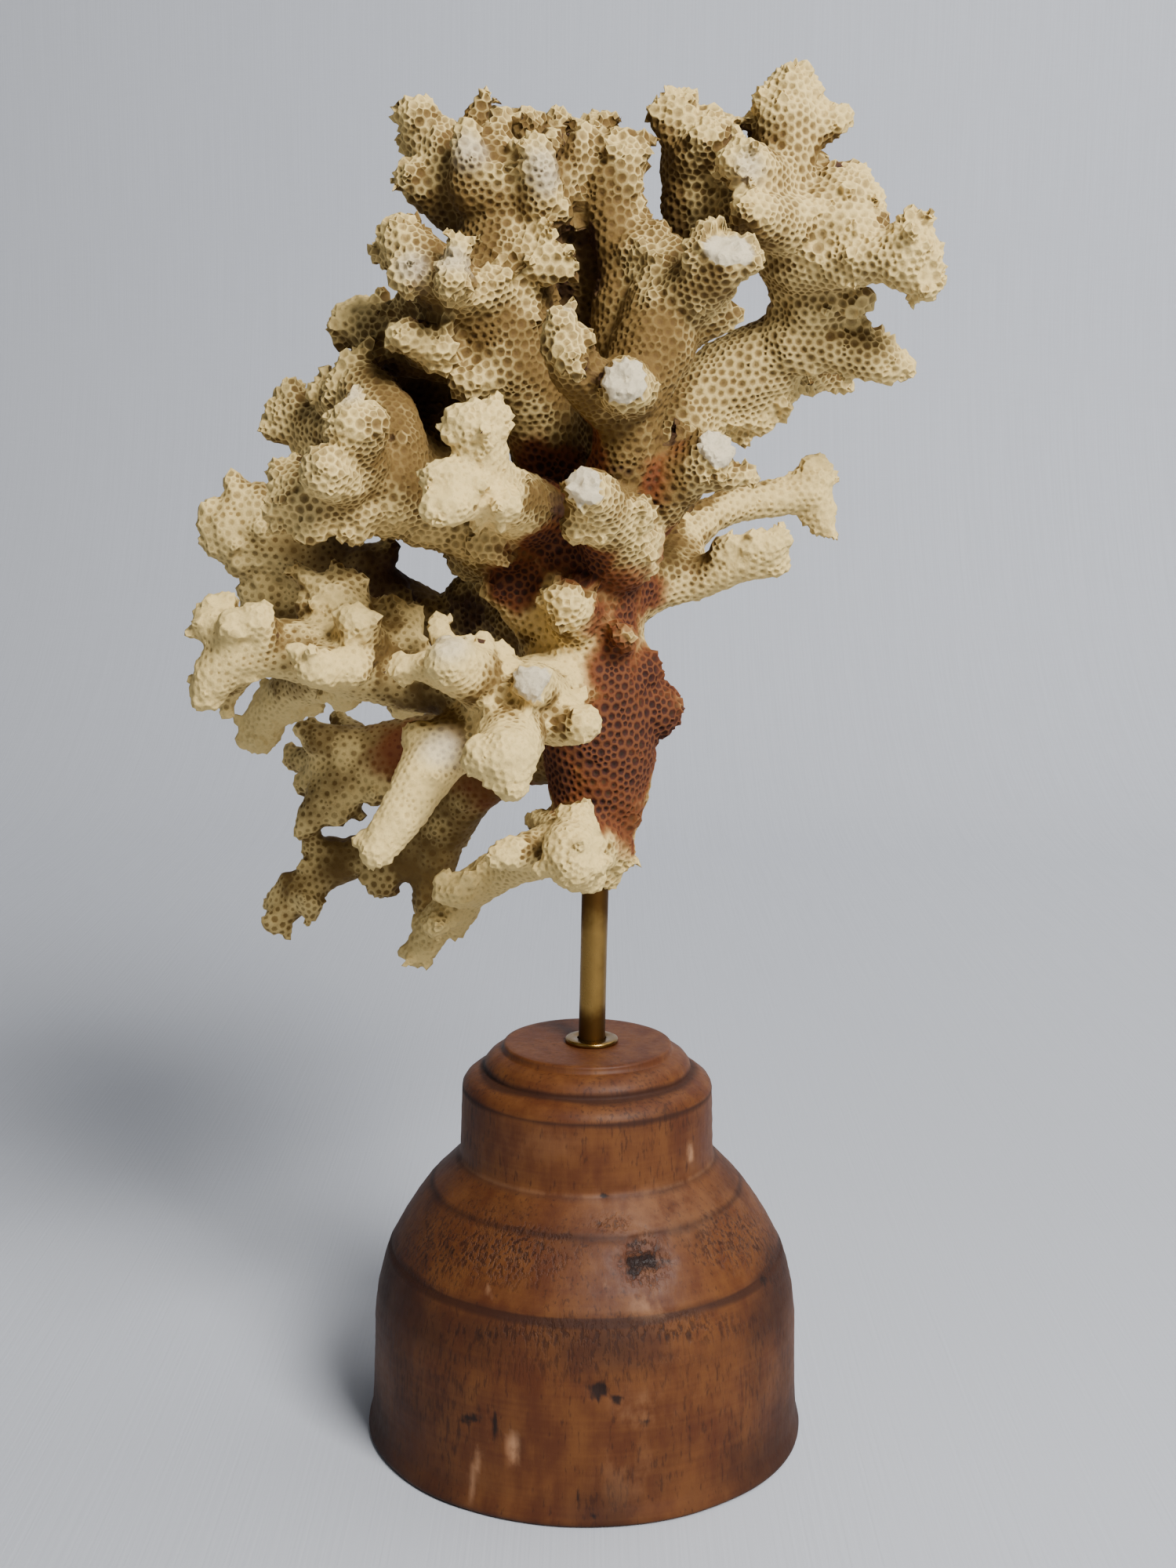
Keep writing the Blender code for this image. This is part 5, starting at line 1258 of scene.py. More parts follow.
    def build(self) -> list[bpy.types.Object]:
        """Builds every limb and returns the pieces."""
        body = self.raw_body()
        fine = self.remeshed(body, self.fine_voxel)
        self.fillet(fine)
        fine.verts = self.lump(fine.verts, fine.normals())
        coarse = self.remeshed(body, self.pitch * self.net_voxel_share)
        bpy.data.objects.remove(body, do_unlink=True)
        LOG.info("skin %d triangles, net %d pores", len(fine.tris), len(coarse.verts))
        net = self.even_net(fine, coarse)
        return self.cells(fine, net)

    def cells(self, fine: Skin, net: Skin) -> list[bpy.types.Object]:
        """Opens a pore at every vertex of the net and splits the coral into its limbs.

        Args:
            fine: The fine skin.
            net: The even net, with one pore to a vertex.

        Returns:
            One piece for each limb.
        """
        normals = net.normals()
        tree = fine.tree()
        corners = np.array([tree.find_nearest(row)[0] for row in net.verts[net.tris].mean(1).tolist()])
        facings = unit_rows(normals[net.tris].mean(1))
        maker = np.random.default_rng(self.wall_seed)
        depths = self.skeleton.depths(net.verts)
        owners = depths.argmin(1)
        sky = self.open_sky(fine, net.verts, normals)
        tip = self.skeleton.tipness(net.verts, 1.6)
        near_tip = self.skeleton.tipness(net.verts, 4.5, nubs=True)
        bleach = self.skeleton.eased(depths, BLEACH)
        wear = self.skeleton.eased(depths, WEAR)
        broken = self.break_faces(net.verts)[1]
        corners, _ = self.break_faces(corners)
        smooth = 1.0 - 0.6 * wear[net.tris].mean(1)
        ragged = self.jag * smooth * (1.0 + 1.6 * self.skeleton.tipness(corners, 3.0, nubs=True))
        corners += (maker.normal(0.0, 1.0, len(corners)) * ragged)[:, None] * facings
        cracked = smoothstep(broken, 0.0, 0.3)
        rubbed = self.patch_levels(net.verts, CLEAN)
        # Paler at tips, where bleached and where rubbed; the open-sky term is painted light in open places
        # and painted shade in enclosed ones.
        pale = self.tip_pale * near_tip + self.bleach_pale * (bleach - self.plain_bleach)
        pale = pale + self.sky_pale * (sky - self.plain_sky) + self.rubbed_pale * rubbed
        pale = np.clip(pale, 0.0, self.palest)
        # Painted shade: darker where less sky is open, less so where bleached or rubbed, plus the listed
        # patches of painted shade and brown growth.
        shade_and_dirt = self.full_shade_and_dirt - self.sky_lightening * sky - self.bleach_clean * bleach
        shade_and_dirt = np.clip(shade_and_dirt - self.rubbed_clean * rubbed, 0.0, self.deepest_shade_and_dirt)
        shade_and_dirt += self.patch_levels(net.verts, SHADE_AND_GROWTH) * np.clip(1.0 - 0.9 * rubbed, 0.0, 1.0)
        lost = wear * (0.7 + 0.3 * smoothstep(sky, 0.3, 0.8)) + 0.25 * cloud(net.verts, 8.0, 17.0)
        worn = smoothstep(lost, 0.15, 0.95) * (1.0 - 0.45 * tip) + 0.25 * tip
        worn = np.clip(worn + maker.normal(0.0, 0.06, len(tip)), 0.0, 1.0)
        depth_share = (1.0 - 0.72 * worn) * (1.0 - 0.7 * cracked) * maker.uniform(0.85, 1.15, len(tip))
        lip_share = (self.lip_share + self.tip_lip * near_tip) * (1.0 - 0.12 * worn)
        lip_share *= maker.uniform(0.86, 1.10, len(tip))
        rings = self.rings(net)
        layers = {"pale": pale, "shade_and_dirt": shade_and_dirt}
        pieces = []
        for owner, limb in enumerate(self.skeleton.limbs):
            mine = [k for k in np.flatnonzero(owners == owner).tolist() if len(rings[k]) >= 3]
            pieces.append(self.limb_piece(limb, mine, rings, corners, normals, layers,
                                          depth_share, lip_share))
        return pieces

    def rings(self, net: Skin) -> list[list[int]]:
        """Returns the triangles around each vertex in order."""
        step = [dict() for _ in range(len(net.verts))]
        for tri, (a, b, c) in enumerate(net.tris.tolist()):
            step[a][b] = (c, tri)
            step[b][c] = (a, tri)
            step[c][a] = (b, tri)
        rings = []
        for around in step:
            if not around:
                rings.append([])
                continue
            first = next(iter(around))
            ring, here = [], first
            while here in around and len(ring) < len(around):
                here, tri = around[here]
                ring.append(tri)
            rings.append(ring if here == first and len(ring) == len(around) else [])
        return rings

    def limb_piece(self, limb: str, mine: list[int], rings: list[list[int]], corners: np.ndarray,
                   normals: np.ndarray, layers: dict[str, np.ndarray], depth_share: np.ndarray,
                   lip_share: np.ndarray) -> bpy.types.Object:
        """Builds one limb's pores.

        Args:
            limb: Name of the limb.
            mine: The limb's pores.
            rings: The triangles around each pore.
            corners: The walls' corners, one for each triangle of the net.
            normals: The pores' normals.
            layers: The painted layers, one value for each pore.
            depth_share: Share of the full depth of each pore.
            lip_share: Share of the cell that each pore opens.

        Returns:
            The piece.
        """
        verts, faces, sources, pits = [], [], [], []
        corner_number = {}
        skipped = 0
        for k in mine:
            ring = rings[k]
            count = len(ring)
            rim_points = corners[ring]
            middle = rim_points.mean(0)
            spokes = rim_points - middle
            reach = np.linalg.norm(spokes, axis=1)
            if reach.max() > self.longest_spoke:
                skipped += 1
                continue
            even = unit_rows(spokes) * (self.own_reach * reach + self.mean_reach * reach.mean())[:, None]
            normal = normals[k]
            depth = self.pore_depth * depth_share[k]
            steps = 2 if depth_share[k] > self.shallow else 1
            if steps == 2:
                between = unit_rows(spokes + np.roll(spokes, -1, axis=0))
                between = between * (self.between_reach * reach.mean())
                even = np.stack([even, between], axis=1).reshape(-1, 3)
            lip = middle + even * lip_share[k] - normal * (self.lip_sink * depth_share[k])
            rim = []
            for tri, point in zip(ring, rim_points):
                if tri not in corner_number:
                    corner_number[tri] = len(verts)
                    verts.append(point)
                    sources.append(k)
                    pits.append(0.0)
                rim.append(corner_number[tri])
            first_lip, around = len(verts), len(lip)
            verts.extend(lip)
            sources.extend([k] * around)
            pits.extend([self.lip_pit * depth_share[k]] * around)
            verts.append(middle - normal * depth * self.hub_sink)
            sources.append(k)
            pits.append(depth_share[k])
            hub = len(verts) - 1
            for here in range(count):
                mouth = [first_lip + (here * steps + step) % around for step in range(steps, -1, -1)]
                faces.append((rim[here], rim[(here + 1) % count], *mouth))
                faces.extend((mouth[step + 1], mouth[step], hub) for step in range(steps))
        verts = np.array(verts)
        piece = new_piece(limb + "_skin", verts, faces, [limb])
        sources = np.array(sources)
        paint(piece, "stain", self.patch_levels(verts, STAINS))
        paint(piece, "chalk", self.break_faces(verts)[1])
        for name, values in layers.items():
            paint(piece, name, values[sources])
        paint(piece, "pit", np.array(pits))
        LOG.info("%s: %d pores, %d skipped, %d faces", piece.name, len(mine), skipped, len(faces))
        return piece


# The rust-red stain: across, down, towards the viewer, reach in millimetres and depth of colour.
STAINS = (
    (788, 862, 10, 8.5, 0.95),
    (790, 915, 10, 9.5, 1.05),
    (775, 970, 10, 9.0, 1.1),
    (768, 1020, 8, 9.5, 0.9),
    (745, 955, 11, 7.0, 1.15),
    (815, 870, 4, 10.0, 1.05),
    (825, 925, 4, 12.0, 1.15),
    (800, 985, 6, 11.0, 1.0),
    (790, 1040, 5, 10.0, 0.85),
    (850, 900, -4, 12.0, 1.05),
    (715, 975, 4, 9.0, 1.3),
    (805, 800, 9, 9.0, 0.85),
    (790, 740, 13, 8.5, 0.75),
    (790, 832, 10, 9.0, 0.90),
    (772, 786, 13, 7.5, 0.72),
    (815, 765, 8, 8.0, 0.85),
    (835, 760, 4, 9.0, 0.85),
    (850, 705, 6, 8.0, 0.85),
    (745, 705, 15, 8.5, 1.15),
    (700, 700, 13, 8.0, 1.05),
    (660, 740, 8, 8.0, 1.0),
    (640, 700, 10, 6.0, 0.7),
    (705, 610, 5, 9.0, 1.0),
    (680, 585, 6, 7.0, 0.8),
    (752, 552, 13, 6.5, 0.90),
    (760, 590, 13, 6.0, 0.90),
    (838, 612, 12, 6.5, 0.85),
    (870, 580, 14, 5.0, 0.45),
    (618, 1010, -13, 11.0, 0.52),
    (645, 985, -10, 9.0, 0.75),
    (510, 955, -20, 11.0, 0.70),
    (800, 840, -12, 16.0, 0.7),
)

# Painted shade with dark brown growth, in the coral's heart and on shaded flanks, laid out in the same way.
SHADE_AND_GROWTH = (
    (590, 790, -8, 10.5, 1.15),
    (612, 770, -6, 7.0, 1.1),
    (560, 900, -14, 11.0, 0.8),
    (490, 735, -14, 12.0, 0.75),
    (430, 720, -16, 12.0, 0.6),
    (505, 955, -22, 11.0, 0.7),
    (470, 690, -8, 9.0, 0.5),
    (420, 900, -14, 9.0, 0.45),
    (350, 910, -14, 9.0, 0.35),
    (735, 690, 12, 8.0, 0.5),
    (710, 980, 2, 9.0, 0.8),
    (756, 450, -6, 7.0, 0.6),
    (545, 540, -8, 9.0, 0.5),
    (905, 500, 8, 11.0, 0.45),
    (955, 470, 5, 10.0, 0.35),
    (905, 430, 4, 7.0, 0.35),
    (480, 850, 20, 6.0, 0.15),
)

# Rubbed, paler patches on the trunk, laid out in the same way.
CLEAN = (
    (706, 832, 11, 9.0, 0.9),
    (676, 800, 7, 11.0, 0.9),
    (702, 772, 10, 11.0, 0.9),
    (668, 840, 7, 9.0, 0.7),
    (735, 810, 12, 8.0, 0.7),
    (690, 880, 9, 7.0, 0.6),
    (735, 776, 17, 6.0, 0.5),
    (690, 555, 6, 9.0, 0.5),
)

# Darker lines along the base's turned creases: height in millimetres and how much.
CREASES = ((70.8, 1.3), (67.2, 1.0), (54.0, 0.5), (48.5, 0.5), (36.4, 1.0))


@dataclass(frozen=True)
class WoodFinish:
    """Stained turned wood, paler at the middle, with painted shade on its sides and a painted shadow towards
    its foot.
    """

    light: tuple[float, float, float] = (0.118, 0.042, 0.0115)
    middle: tuple[float, float, float] = (0.068, 0.0190, 0.0060)
    dark: tuple[float, float, float] = (0.024, 0.0078, 0.0040)
    black: tuple[float, float, float] = (0.010, 0.005, 0.004)
    scuff_and_highlight: tuple[float, float, float] = (0.36, 0.19, 0.10)

    def make(self) -> bpy.types.Material:
        """Makes the material and returns it."""
        lay = Nodes(bpy.data.materials.new("turned_wood"))
        fibres = lay.noise(420.0, 5.0, (1.0, 1.0, 0.10), 0.6)
        bands = lay.noise(60.0, 4.0, (1.0, 1.0, 0.30), 0.5)
        blotch = lay.noise(48.0, 4.0)
        speck = lay.noise(900.0, 2.0)
        mottle = lay.noise(170.0, 5.0, (1.0, 1.0, 0.6), 0.6)
        turned = lay.noise(1100.0, 2.0, (0.04, 0.04, 1.0))
        streaks = lay.plus(lay.times(fibres, 0.20), lay.times(bands, 0.22))
        cloudy = lay.plus(lay.times(mottle, 0.46), lay.times(turned, 0.12))
        colour = lay.mix(lay.ramp(lay.plus(streaks, cloudy), 0.38, 0.62), self.middle, self.light)
        uneven = lay.swing(blotch, 1.5)
        # This layer holds a painted shadow towards the foot, painted shade on the sides, and darker bands and
        # crease lines.
        shade_and_soil = lay.plus(lay.times(lay.layer("shade_and_soil"), 0.70), uneven)
        colour = lay.mix(lay.times(lay.ramp(shade_and_soil, 0.05, 0.85), 0.84), colour, self.dark)
        torn = lay.times(lay.layer("torn"), lay.ramp(fibres, 0.50, 0.68))
        dashes = lay.noise(1500.0, 3.0, (1.0, 1.0, 0.22), 0.6)
        sparse = lay.plus(dashes, lay.swing(blotch, 0.5))
        colour = lay.mix(lay.times(lay.ramp(sparse, 0.56, 0.70), 0.55), colour, self.dark)
        ragged = lay.times(lay.layer("torn"), lay.ramp(dashes, 0.46, 0.60))
        colour = lay.mix(lay.times(ragged, 0.8), colour, self.dark)
        colour = lay.mix(lay.times(torn, 0.5), colour, self.dark)
        # Pale scuffs, and a painted highlight line along the neck's lower edge.
        rubbed = lay.times(lay.layer("scuff_and_highlight"), lay.ramp(mottle, 0.38, 0.58))
        colour = lay.mix(rubbed, colour, self.scuff_and_highlight)
        rough_mark = lay.plus(lay.layer("mark"), lay.swing(dashes, 0.8))
        colour = lay.mix(lay.times(lay.ramp(rough_mark, 0.20, 0.75), 0.92), colour, self.black)
        lay.link(colour, lay.shader.inputs["Base Color"])
        gloss = lay.plus(0.44, lay.times(lay.plus(shade_and_soil, speck), 0.16))
        lay.link(gloss, lay.shader.inputs["Roughness"])
        lay.shader.inputs["Specular IOR Level"].default_value = 0.18
        height = lay.math("SUBTRACT", fibres, lay.times(lay.plus(torn, ragged), 1.6))
        lay.bump(height, 0.00012, 0.7)
        return lay.material


@dataclass(frozen=True)
class BrassFinish:
    """Old brass, drawn lengthwise, with brown patina where it isn't handled."""

    bright: tuple[float, float, float] = (0.27, 0.160, 0.044)
    dull: tuple[float, float, float] = (0.085, 0.040, 0.010)

    def make(self) -> bpy.types.Material:
        """Makes the material and returns it."""
        lay = Nodes(bpy.data.materials.new("old_brass"))
        drawn = lay.noise(700.0, 3.0, (1.0, 1.0, 0.05))
        cloudy = lay.noise(110.0, 5.0)
        patina = lay.plus(cloudy, lay.times(lay.layer("patina"), 0.45))
        share = lay.ramp(lay.plus(patina, lay.times(drawn, 0.15)), 0.50, 0.95)
        lay.link(lay.mix(share, self.bright, self.dull), lay.shader.inputs["Base Color"])
        lay.link(lay.plus(0.27, lay.times(share, 0.30)), lay.shader.inputs["Roughness"])
        lay.shader.inputs["Metallic"].default_value = 1.0
        lay.bump(drawn, 0.00004, 0.6)
        return lay.material


@dataclass
class Stand:
    """The turned base, the washer and the rod. Sizes are in millimetres."""

    height: float = 75.6
    top_radius: float = 15.9
    neck_radius: float = 23.6
    shoulder_radius: float = 40.6
    foot_radius: float = 41.8
    rod_radius: float = 2.5
    rod_lean: float = math.radians(0.7)
    rod_shift: float = 0.5
    rod_top: float = 118.0
    bore_depth: float = 22.0
    washer_radius: float = 5.0
    washer_thickness: float = 0.9
    washer_clearance: float = 0.02
    rod_edge: float = 0.3
    gap: float = 0.3
    turns: int = 300
    washer_turns: int = 96
    rod_turns: int = 64

    def outline(self) -> list[tuple[float, float]]:
        """Returns the base's outline, from its middle top to its middle underside."""
        top = self.height
        neck = self.neck_radius
        return [
            (0.0, top), (self.top_radius - 0.5, top), (self.top_radius - 0.1, top - 0.15),
            (self.top_radius, top - 0.5), (self.top_radius + 0.1, top - 1.3),
            (self.top_radius + 0.5, top - 1.45), (17.4, top - 1.75), (18.5, top - 2.5), (19.3, top - 3.5),
            (19.6, top - 4.4), (19.5, top - 4.75), (19.9, top - 5.0), (21.8, top - 5.8),
            (22.9, top - 6.7), (neck - 0.1, top - 7.7), (neck, top - 8.3),
            (neck + 0.2, 61.0), (neck + 0.4, 54.9), (neck + 0.6, 54.2), (neck + 0.9, 53.8),
            (26.1, 52.2), (28.2, 50.0), (29.4, 48.8), (29.5, 48.5), (30.7, 47.3), (33.0, 44.1), (35.2, 40.6),
            (37.1, 37.0), (37.2, 36.5), (37.6, 36.1), (38.6, 33.0), (39.7, 28.5), (40.3, 23.5), (40.5, 17.0),
            (self.shoulder_radius, 9.0), (41.0, 4.0), (self.foot_radius - 0.1, 1.3), (self.foot_radius, 0.8),
            (self.foot_radius - 0.1, 0.3), (self.foot_radius - 0.5, 0.0), (0.0, 0.0),
        ]

    def spaced_outline(self, step: float) -> np.ndarray:
        """Returns the outline with a row at least every step."""
        rows = self.outline()
        spaced = [rows[0]]
        for (r0, h0), (r1, h1) in zip(rows[:-1], rows[1:]):
            count = max(1, round(math.hypot(r1 - r0, h1 - h0) / step))
            spaced += [(r0 + (r1 - r0) * k / count, h0 + (h1 - h0) * k / count) for k in range(1, count + 1)]
        return np.array(spaced)

    def lathe(self, rows: np.ndarray, turns: int, centre: float = 0.0) -> tuple[np.ndarray, list]:
        """Turns an outline about the upright axis.

        Args:
            rows: Radius and height of each row. A first or last radius of 0 makes a closed end.
            turns: Number of steps round.
            centre: How far the axis stands to the right.

        Returns:
            The vertices and the faces.
        """
        angles = np.arange(turns) * (2.0 * math.pi / turns)
        verts, first = [], []
        for radius, height in rows:
            first.append(len(verts))
            if radius < 1e-6:
                verts.append((centre, 0.0, height))
            else:
                verts += [(centre + radius * math.sin(a), -radius * math.cos(a), height) for a in angles]
        faces = []
        for k in range(len(rows) - 1):
            upper_pole, lower_pole = rows[k][0] < 1e-6, rows[k + 1][0] < 1e-6
            for here in range(turns):
                after = (here + 1) % turns
                if upper_pole:
                    faces.append((first[k], first[k + 1] + here, first[k + 1] + after))
                elif lower_pole:
                    faces.append((first[k] + after, first[k] + here, first[k + 1]))
                else:
                    upper, lower = first[k], first[k + 1]
                    faces.append((upper + here, lower + here, lower + after, upper + after))
        return np.array(verts), faces

    def build(self) -> list[bpy.types.Object]:
        """Builds the three pieces and returns them."""
        return [self.base(), self.washer(), self.rod()]

    def base(self) -> bpy.types.Object:
        """Builds the turned base and returns it."""
        verts, faces = self.lathe(self.spaced_outline(1.0), self.turns)
        seen = VIEW.project(verts)
        front = verts[:, 1] < 0.0
        outward = unit_rows(verts * np.array([1.0, 1.0, 0.0]))
        push = 0.10 * np.sin(verts[:, 2] * 4.1) * cloud(verts, 14.0, 2.0) + 0.14 * cloud(verts, 9.0, 5.5)
        push *= smoothstep(np.hypot(verts[:, 0], verts[:, 1]), 14.0, 17.0)
        mark = np.zeros(len(verts))
        scuff_and_highlight = np.zeros(len(verts))
        torn = np.zeros(len(verts))
        fret = cloud(verts, 1.6, 8.0)
        for spot in WOOD_SPOTS:
            away = np.hypot((seen[:, 0] - spot.across) / spot.wide, (seen[:, 1] - spot.down) / spot.tall)
            share = np.where(front, 1.0 - smoothstep(away + 0.35 * fret, 0.30, 1.25), 0.0)
            push -= share * spot.sink
            mark = np.maximum(mark, share * spot.dark)
            scuff_and_highlight = np.maximum(scuff_and_highlight, share * spot.pale)
            torn = np.maximum(torn, share * spot.torn)
        # Painted shadow: darker towards the foot. Painted shade: darker towards the left and right sides as
        # seen. Darker bands at 32 and 50 mm and lines along the creases are added on top.
        shade_and_soil = smoothstep(-verts[:, 2], -16.0, 0.0) * 0.6 + smoothstep(np.abs(verts[:, 0]), 22.0, 41.0) * 0.55
        shade_and_soil += smoothstep(-np.abs(verts[:, 2] - 32.0), -9.0, -2.0) * 0.5
        shade_and_soil += smoothstep(-np.abs(verts[:, 2] - 50.0), -7.0, -1.0) * 0.35
        for line, depth in CREASES:
            gap = np.abs(verts[:, 2] - line + 0.3 * cloud(verts, 12.0, line))
            shade_and_soil += smoothstep(-gap, -0.8, -0.2) * depth
        # Painted highlight: a pale line along the neck's lower edge.
        scuff_and_highlight = np.maximum(scuff_and_highlight, smoothstep(-np.abs(verts[:, 2] - 54.2), -0.5, -0.1) * 0.14)
        verts = verts + outward * push[:, None]
        piece = new_piece("wooden_base_turned", verts, faces, ["wooden_base"])
        for name, values in (("shade_and_soil", shade_and_soil), ("mark", mark), ("scuff_and_highlight", scuff_and_highlight), ("torn", torn)):
            paint(piece, name, values)
        piece.data.materials.append(WoodFinish().make())
        LOG.info("wooden_base_turned: %d faces", len(faces))
        return piece

    def brass(self) -> bpy.types.Material:
        """Returns the brass, made once."""
        return bpy.data.materials.get("old_brass") or BrassFinish().make()

    def washer(self) -> bpy.types.Object:
        """Builds the washer, seated on the base's top, and returns it."""
        inner, outer = self.rod_radius + 0.2, self.washer_radius
        low = self.height + self.washer_clearance
        high = low + self.washer_thickness
        ring = [(inner, low + 0.15), (inner, high - 0.15), (inner + 0.15, high), (outer - 0.35, high),
                (outer - 0.1, high - 0.12), (outer, high - 0.35), (outer, low + 0.1), (outer - 0.1, low),
                (inner + 0.15, low), (inner, low + 0.15)]
        centre = self.rod_shift + math.sin(self.rod_lean) * self.bore_depth
        verts, faces = self.lathe(np.array(ring), self.washer_turns, centre)
        piece = new_piece("brass_washer_ring", verts, faces, ["brass_washer"])
        bm = bmesh.new()
        bm.from_mesh(piece.data)
        bmesh.ops.remove_doubles(bm, verts=bm.verts[:], dist=0.00001)
        bmesh.ops.recalc_face_normals(bm, faces=bm.faces[:])
        bm.to_mesh(piece.data)
        bm.free()
        paint(piece, "patina", np.full(len(piece.data.vertices), -0.2))
        piece.data.materials.append(self.brass())
        return piece

    def rod(self) -> bpy.types.Object:
        """Builds the rod and returns it."""
        foot = self.height - self.bore_depth + self.gap
        shaft = np.linspace(foot + self.rod_edge, self.rod_top - self.rod_edge, 60)
        heights = np.concatenate([[foot, foot], shaft, [self.rod_top] * 2])
        radii = np.full(len(heights), self.rod_radius)
        radii[[0, -1]] = 0.0
        radii[[1, -2]] = self.rod_radius - self.rod_edge
        verts, faces = self.lathe(np.stack([radii, heights], axis=1)[::-1], self.rod_turns)
        verts[:, 0] += self.rod_shift + np.tan(self.rod_lean) * (verts[:, 2] - foot)
        piece = new_piece("brass_rod_drawn", verts, faces, ["brass_rod"])
        patina = smoothstep(-verts[:, 2], -84.0, -78.0) + smoothstep(verts[:, 2], 96.0, 104.0)
        paint(piece, "patina", patina)
        piece.data.materials.append(self.brass())
        return piece


@dataclass(frozen=True)
class WoodSpot:
    """A mark on the turned base, where it is seen and how it differs."""

    across: float
    down: float
    wide: float
    tall: float
    sink: float = 0.0
    dark: float = 0.0
    pale: float = 0.0
    torn: float = 0.0


# Marks on the base, each placed where the view shows it.
WOOD_SPOTS = (
    WoodSpot(822, 1608, 36, 42, sink=0.5, dark=0.42, torn=0.7),
    WoodSpot(824, 1611, 38, 8, sink=0.9, dark=1.0),
    WoodSpot(806, 1622, 12, 10, sink=0.3, dark=0.8),
    WoodSpot(812, 1590, 16, 10, sink=0.3, dark=0.6),
    WoodSpot(830, 1662, 32, 24, pale=0.30),
    WoodSpot(850, 1545, 110, 40, pale=0.10),
    WoodSpot(780, 1560, 30, 14, dark=0.25, torn=0.6),
    WoodSpot(905, 1655, 60, 22, dark=0.22),
    WoodSpot(600, 1560, 90, 30, dark=0.18, torn=0.4),
    WoodSpot(960, 1700, 40, 60, dark=0.15),
    WoodSpot(640, 1598, 95, 45, torn=0.8, dark=0.10),
    WoodSpot(936, 1580, 55, 45, torn=0.8, dark=0.08),
    WoodSpot(700, 1702, 120, 22, torn=0.7, dark=0.16),
    WoodSpot(880, 1695, 110, 24, torn=0.7, dark=0.16),
    WoodSpot(760, 1740, 200, 40, torn=0.35),
    WoodSpot(763, 1774, 17, 14, sink=0.4, dark=0.9),
    WoodSpot(787, 1785, 9, 8, sink=0.3, dark=0.8),
    WoodSpot(654, 1848, 9, 22, sink=0.5, pale=0.8),
    WoodSpot(617, 1822, 4, 30, pale=0.6),
    WoodSpot(610, 1856, 4, 30, pale=0.6),
    WoodSpot(602, 1890, 4, 30, pale=0.5),
    WoodSpot(600, 1810, 18, 8, dark=0.8, sink=0.2),
    WoodSpot(630, 1818, 5, 30, dark=0.8, sink=0.2),
    WoodSpot(882, 1850, 2.5, 40, dark=0.7, sink=0.2),
    WoodSpot(737, 1909, 6, 6, dark=0.8),
    WoodSpot(756, 1933, 7, 6, dark=0.8),
    WoodSpot(771, 1526, 8, 5, dark=0.8, sink=0.3),
    WoodSpot(774, 1646, 4, 7, pale=0.9),
    WoodSpot(623, 1649, 4, 8, pale=0.8),
    WoodSpot(880, 1470, 5, 14, pale=0.7),
    WoodSpot(974, 1634, 8, 8, dark=0.6),
    WoodSpot(573, 1597, 7, 7, dark=0.6),
    WoodSpot(824, 1815, 8, 7, dark=0.6),
    WoodSpot(815, 1800, 44, 30, pale=0.16),
    WoodSpot(800, 1880, 40, 50, pale=0.10),
    WoodSpot(690, 1460, 60, 24, pale=0.07),
    WoodSpot(565, 1598, 62, 58, dark=0.32, torn=0.5),
    WoodSpot(992, 1600, 34, 70, dark=0.30, torn=0.4),
    WoodSpot(660, 1590, 60, 26, dark=0.30, torn=0.6),
    WoodSpot(930, 1560, 50, 26, dark=0.30, torn=0.5),
    WoodSpot(690, 1325, 46, 20, dark=0.24),
    WoodSpot(850, 1700, 70, 16, dark=0.34, torn=0.5),
    WoodSpot(610, 1700, 60, 14, dark=0.30, torn=0.4),
    WoodSpot(560, 1840, 50, 60, dark=0.20),
)


# The lights: name, place and side in metres, and power in watts.
LIGHTS = (
    ("key", (0.45, -0.72, 0.80), 0.42, 25.0),
    ("fill", (-0.9, -0.8, 0.45), 0.9, 0.7),
    ("back", (0.55, 0.25, 1.0), 0.7, 4.0),
)


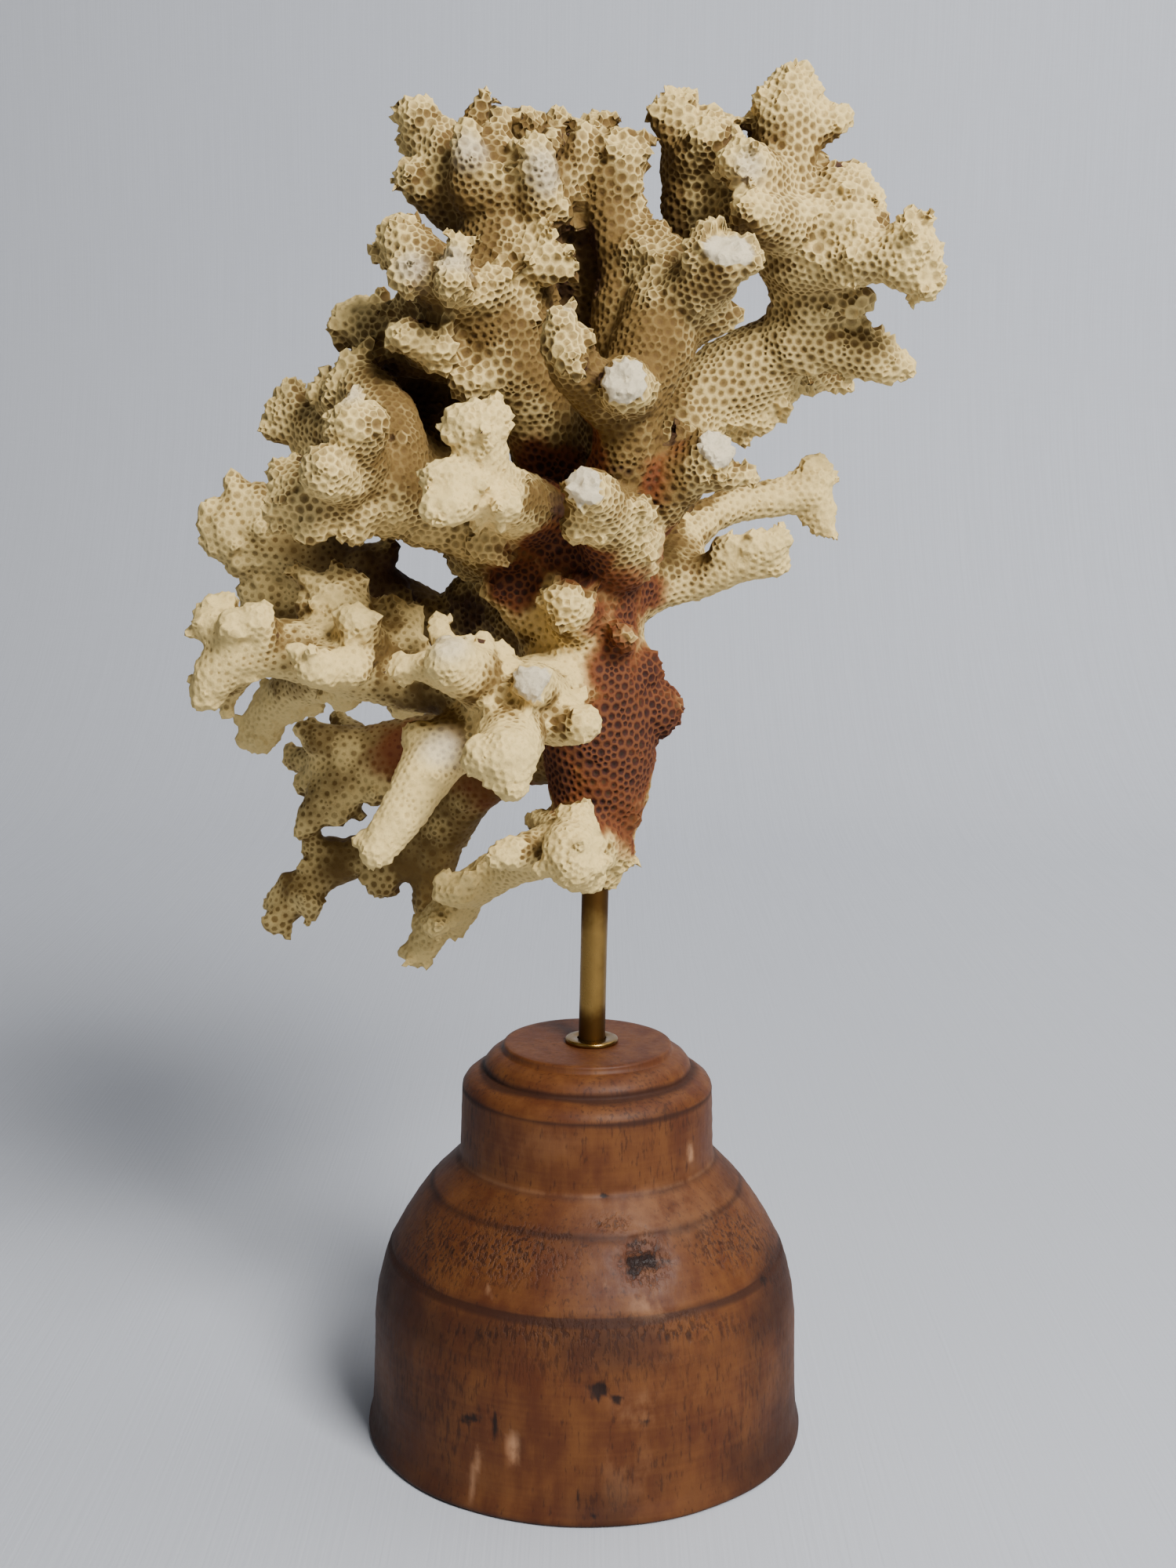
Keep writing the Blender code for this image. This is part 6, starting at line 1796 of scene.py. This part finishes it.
@dataclass(frozen=True)
class Studio:
    """A pale seamless floor and backdrop with soft light. Sizes are in metres."""

    width: float = 3.0
    front: float = -1.6
    depth: float = 0.55
    bend: float = 0.30
    bend_steps: int = 12
    rise: float = 1.6
    drop: float = 0.0002
    near: float = 0.12
    shaded: float = 0.69
    near_shade: float = 0.95
    far_shade: float = 0.34
    side_shade: float = 0.70
    aim_height: float = 0.14
    floor_colour: tuple[float, float, float] = (0.665, 0.685, 0.735)
    surround: tuple[float, float, float, float] = (0.88, 0.92, 1.0, 1.0)
    surround_strength: float = 0.12

    def build(self) -> None:
        """Builds the floor, the lights and the surrounding light."""
        rows = [(self.front, 0.0), (self.near, 0.0), (self.depth, 0.0)]
        for k in range(1, self.bend_steps + 1):
            turn = k / self.bend_steps * math.pi / 2
            rows.append((self.depth + self.bend * math.sin(turn), self.bend * (1 - math.cos(turn))))
        rows.append((self.depth + self.bend, self.rise))
        verts = [(side * self.width / 2, y, z - self.drop) for y, z in rows for side in (-1, 1)]
        faces = [(2 * k, 2 * k + 1, 2 * k + 3, 2 * k + 2) for k in range(len(rows) - 1)]
        mesh = bpy.data.meshes.new("pale_sweep")
        mesh.from_pydata(verts, [], faces)
        mesh.shade_smooth()
        sweep = bpy.data.objects.new("pale_sweep", mesh)
        bpy.context.scene.collection.objects.link(sweep)
        lay = Nodes(bpy.data.materials.new("pale_cloth"))
        ribs = lay.noise(1300.0, 1.0, (1.0, 0.01, 0.01))
        threads = lay.noise(1300.0, 2.0, (0.05, 1.0, 1.0))
        weave = lay.plus(lay.times(ribs, 0.7), lay.times(threads, 0.3))
        tint = tuple(channel * 0.93 for channel in self.floor_colour)
        shade = tuple(channel * self.shaded for channel in self.floor_colour)
        cloth = lay.mix(lay.ramp(weave, 0.3, 0.7), self.floor_colour, tint)
        shaded = lay.mix(lay.ramp(lay.layer("shade"), 0.0, 1.0), cloth, shade)
        lay.link(shaded, lay.shader.inputs["Base Color"])
        lay.shader.inputs["Roughness"].default_value = 0.95
        lay.bump(weave, 0.0003, 0.4)
        mesh.materials.append(lay.material)
        # Painted shade: the floor darker near the front and towards the left.
        paint(sweep, "shade", np.array([
            (self.near_shade if y <= self.near else self.far_shade) - self.side_shade * side
            for y, _ in rows for side in (-1, 1)
        ]))
        for light in LIGHTS:
            self.light(*light)
        world = bpy.data.worlds.new("soft_surround")
        world.use_nodes = True
        surround = world.node_tree.nodes["Background"]
        surround.inputs["Color"].default_value = self.surround
        surround.inputs["Strength"].default_value = self.surround_strength
        bpy.context.scene.world = world

    def light(self, name: str, place: tuple[float, float, float], size: float, power: float) -> None:
        """Adds one soft square light aimed at the coral.

        Args:
            name: Its name.
            place: Where it stands.
            size: Its side.
            power: Its power in watts.
        """
        data = bpy.data.lights.new(name, "AREA")
        data.size = size
        data.energy = power
        lamp = bpy.data.objects.new(name, data)
        lamp.location = place
        aim = Vector((0.0, 0.0, self.aim_height)) - Vector(place)
        lamp.rotation_euler = aim.to_track_quat("-Z", "Y").to_euler()
        bpy.context.scene.collection.objects.link(lamp)


def main() -> None:
    """Builds the coral, its stand and the studio."""
    logging.basicConfig(level=logging.INFO, format="%(message)s")
    VIEW.make_camera()
    Studio().build()
    for piece in Stand().build():
        LOG.info("made %s", piece.name)
    coral = CoralFinish().make()
    for piece in PoredCoral().build():
        piece.data.materials.append(coral)


if __name__ == "__main__":
    main()
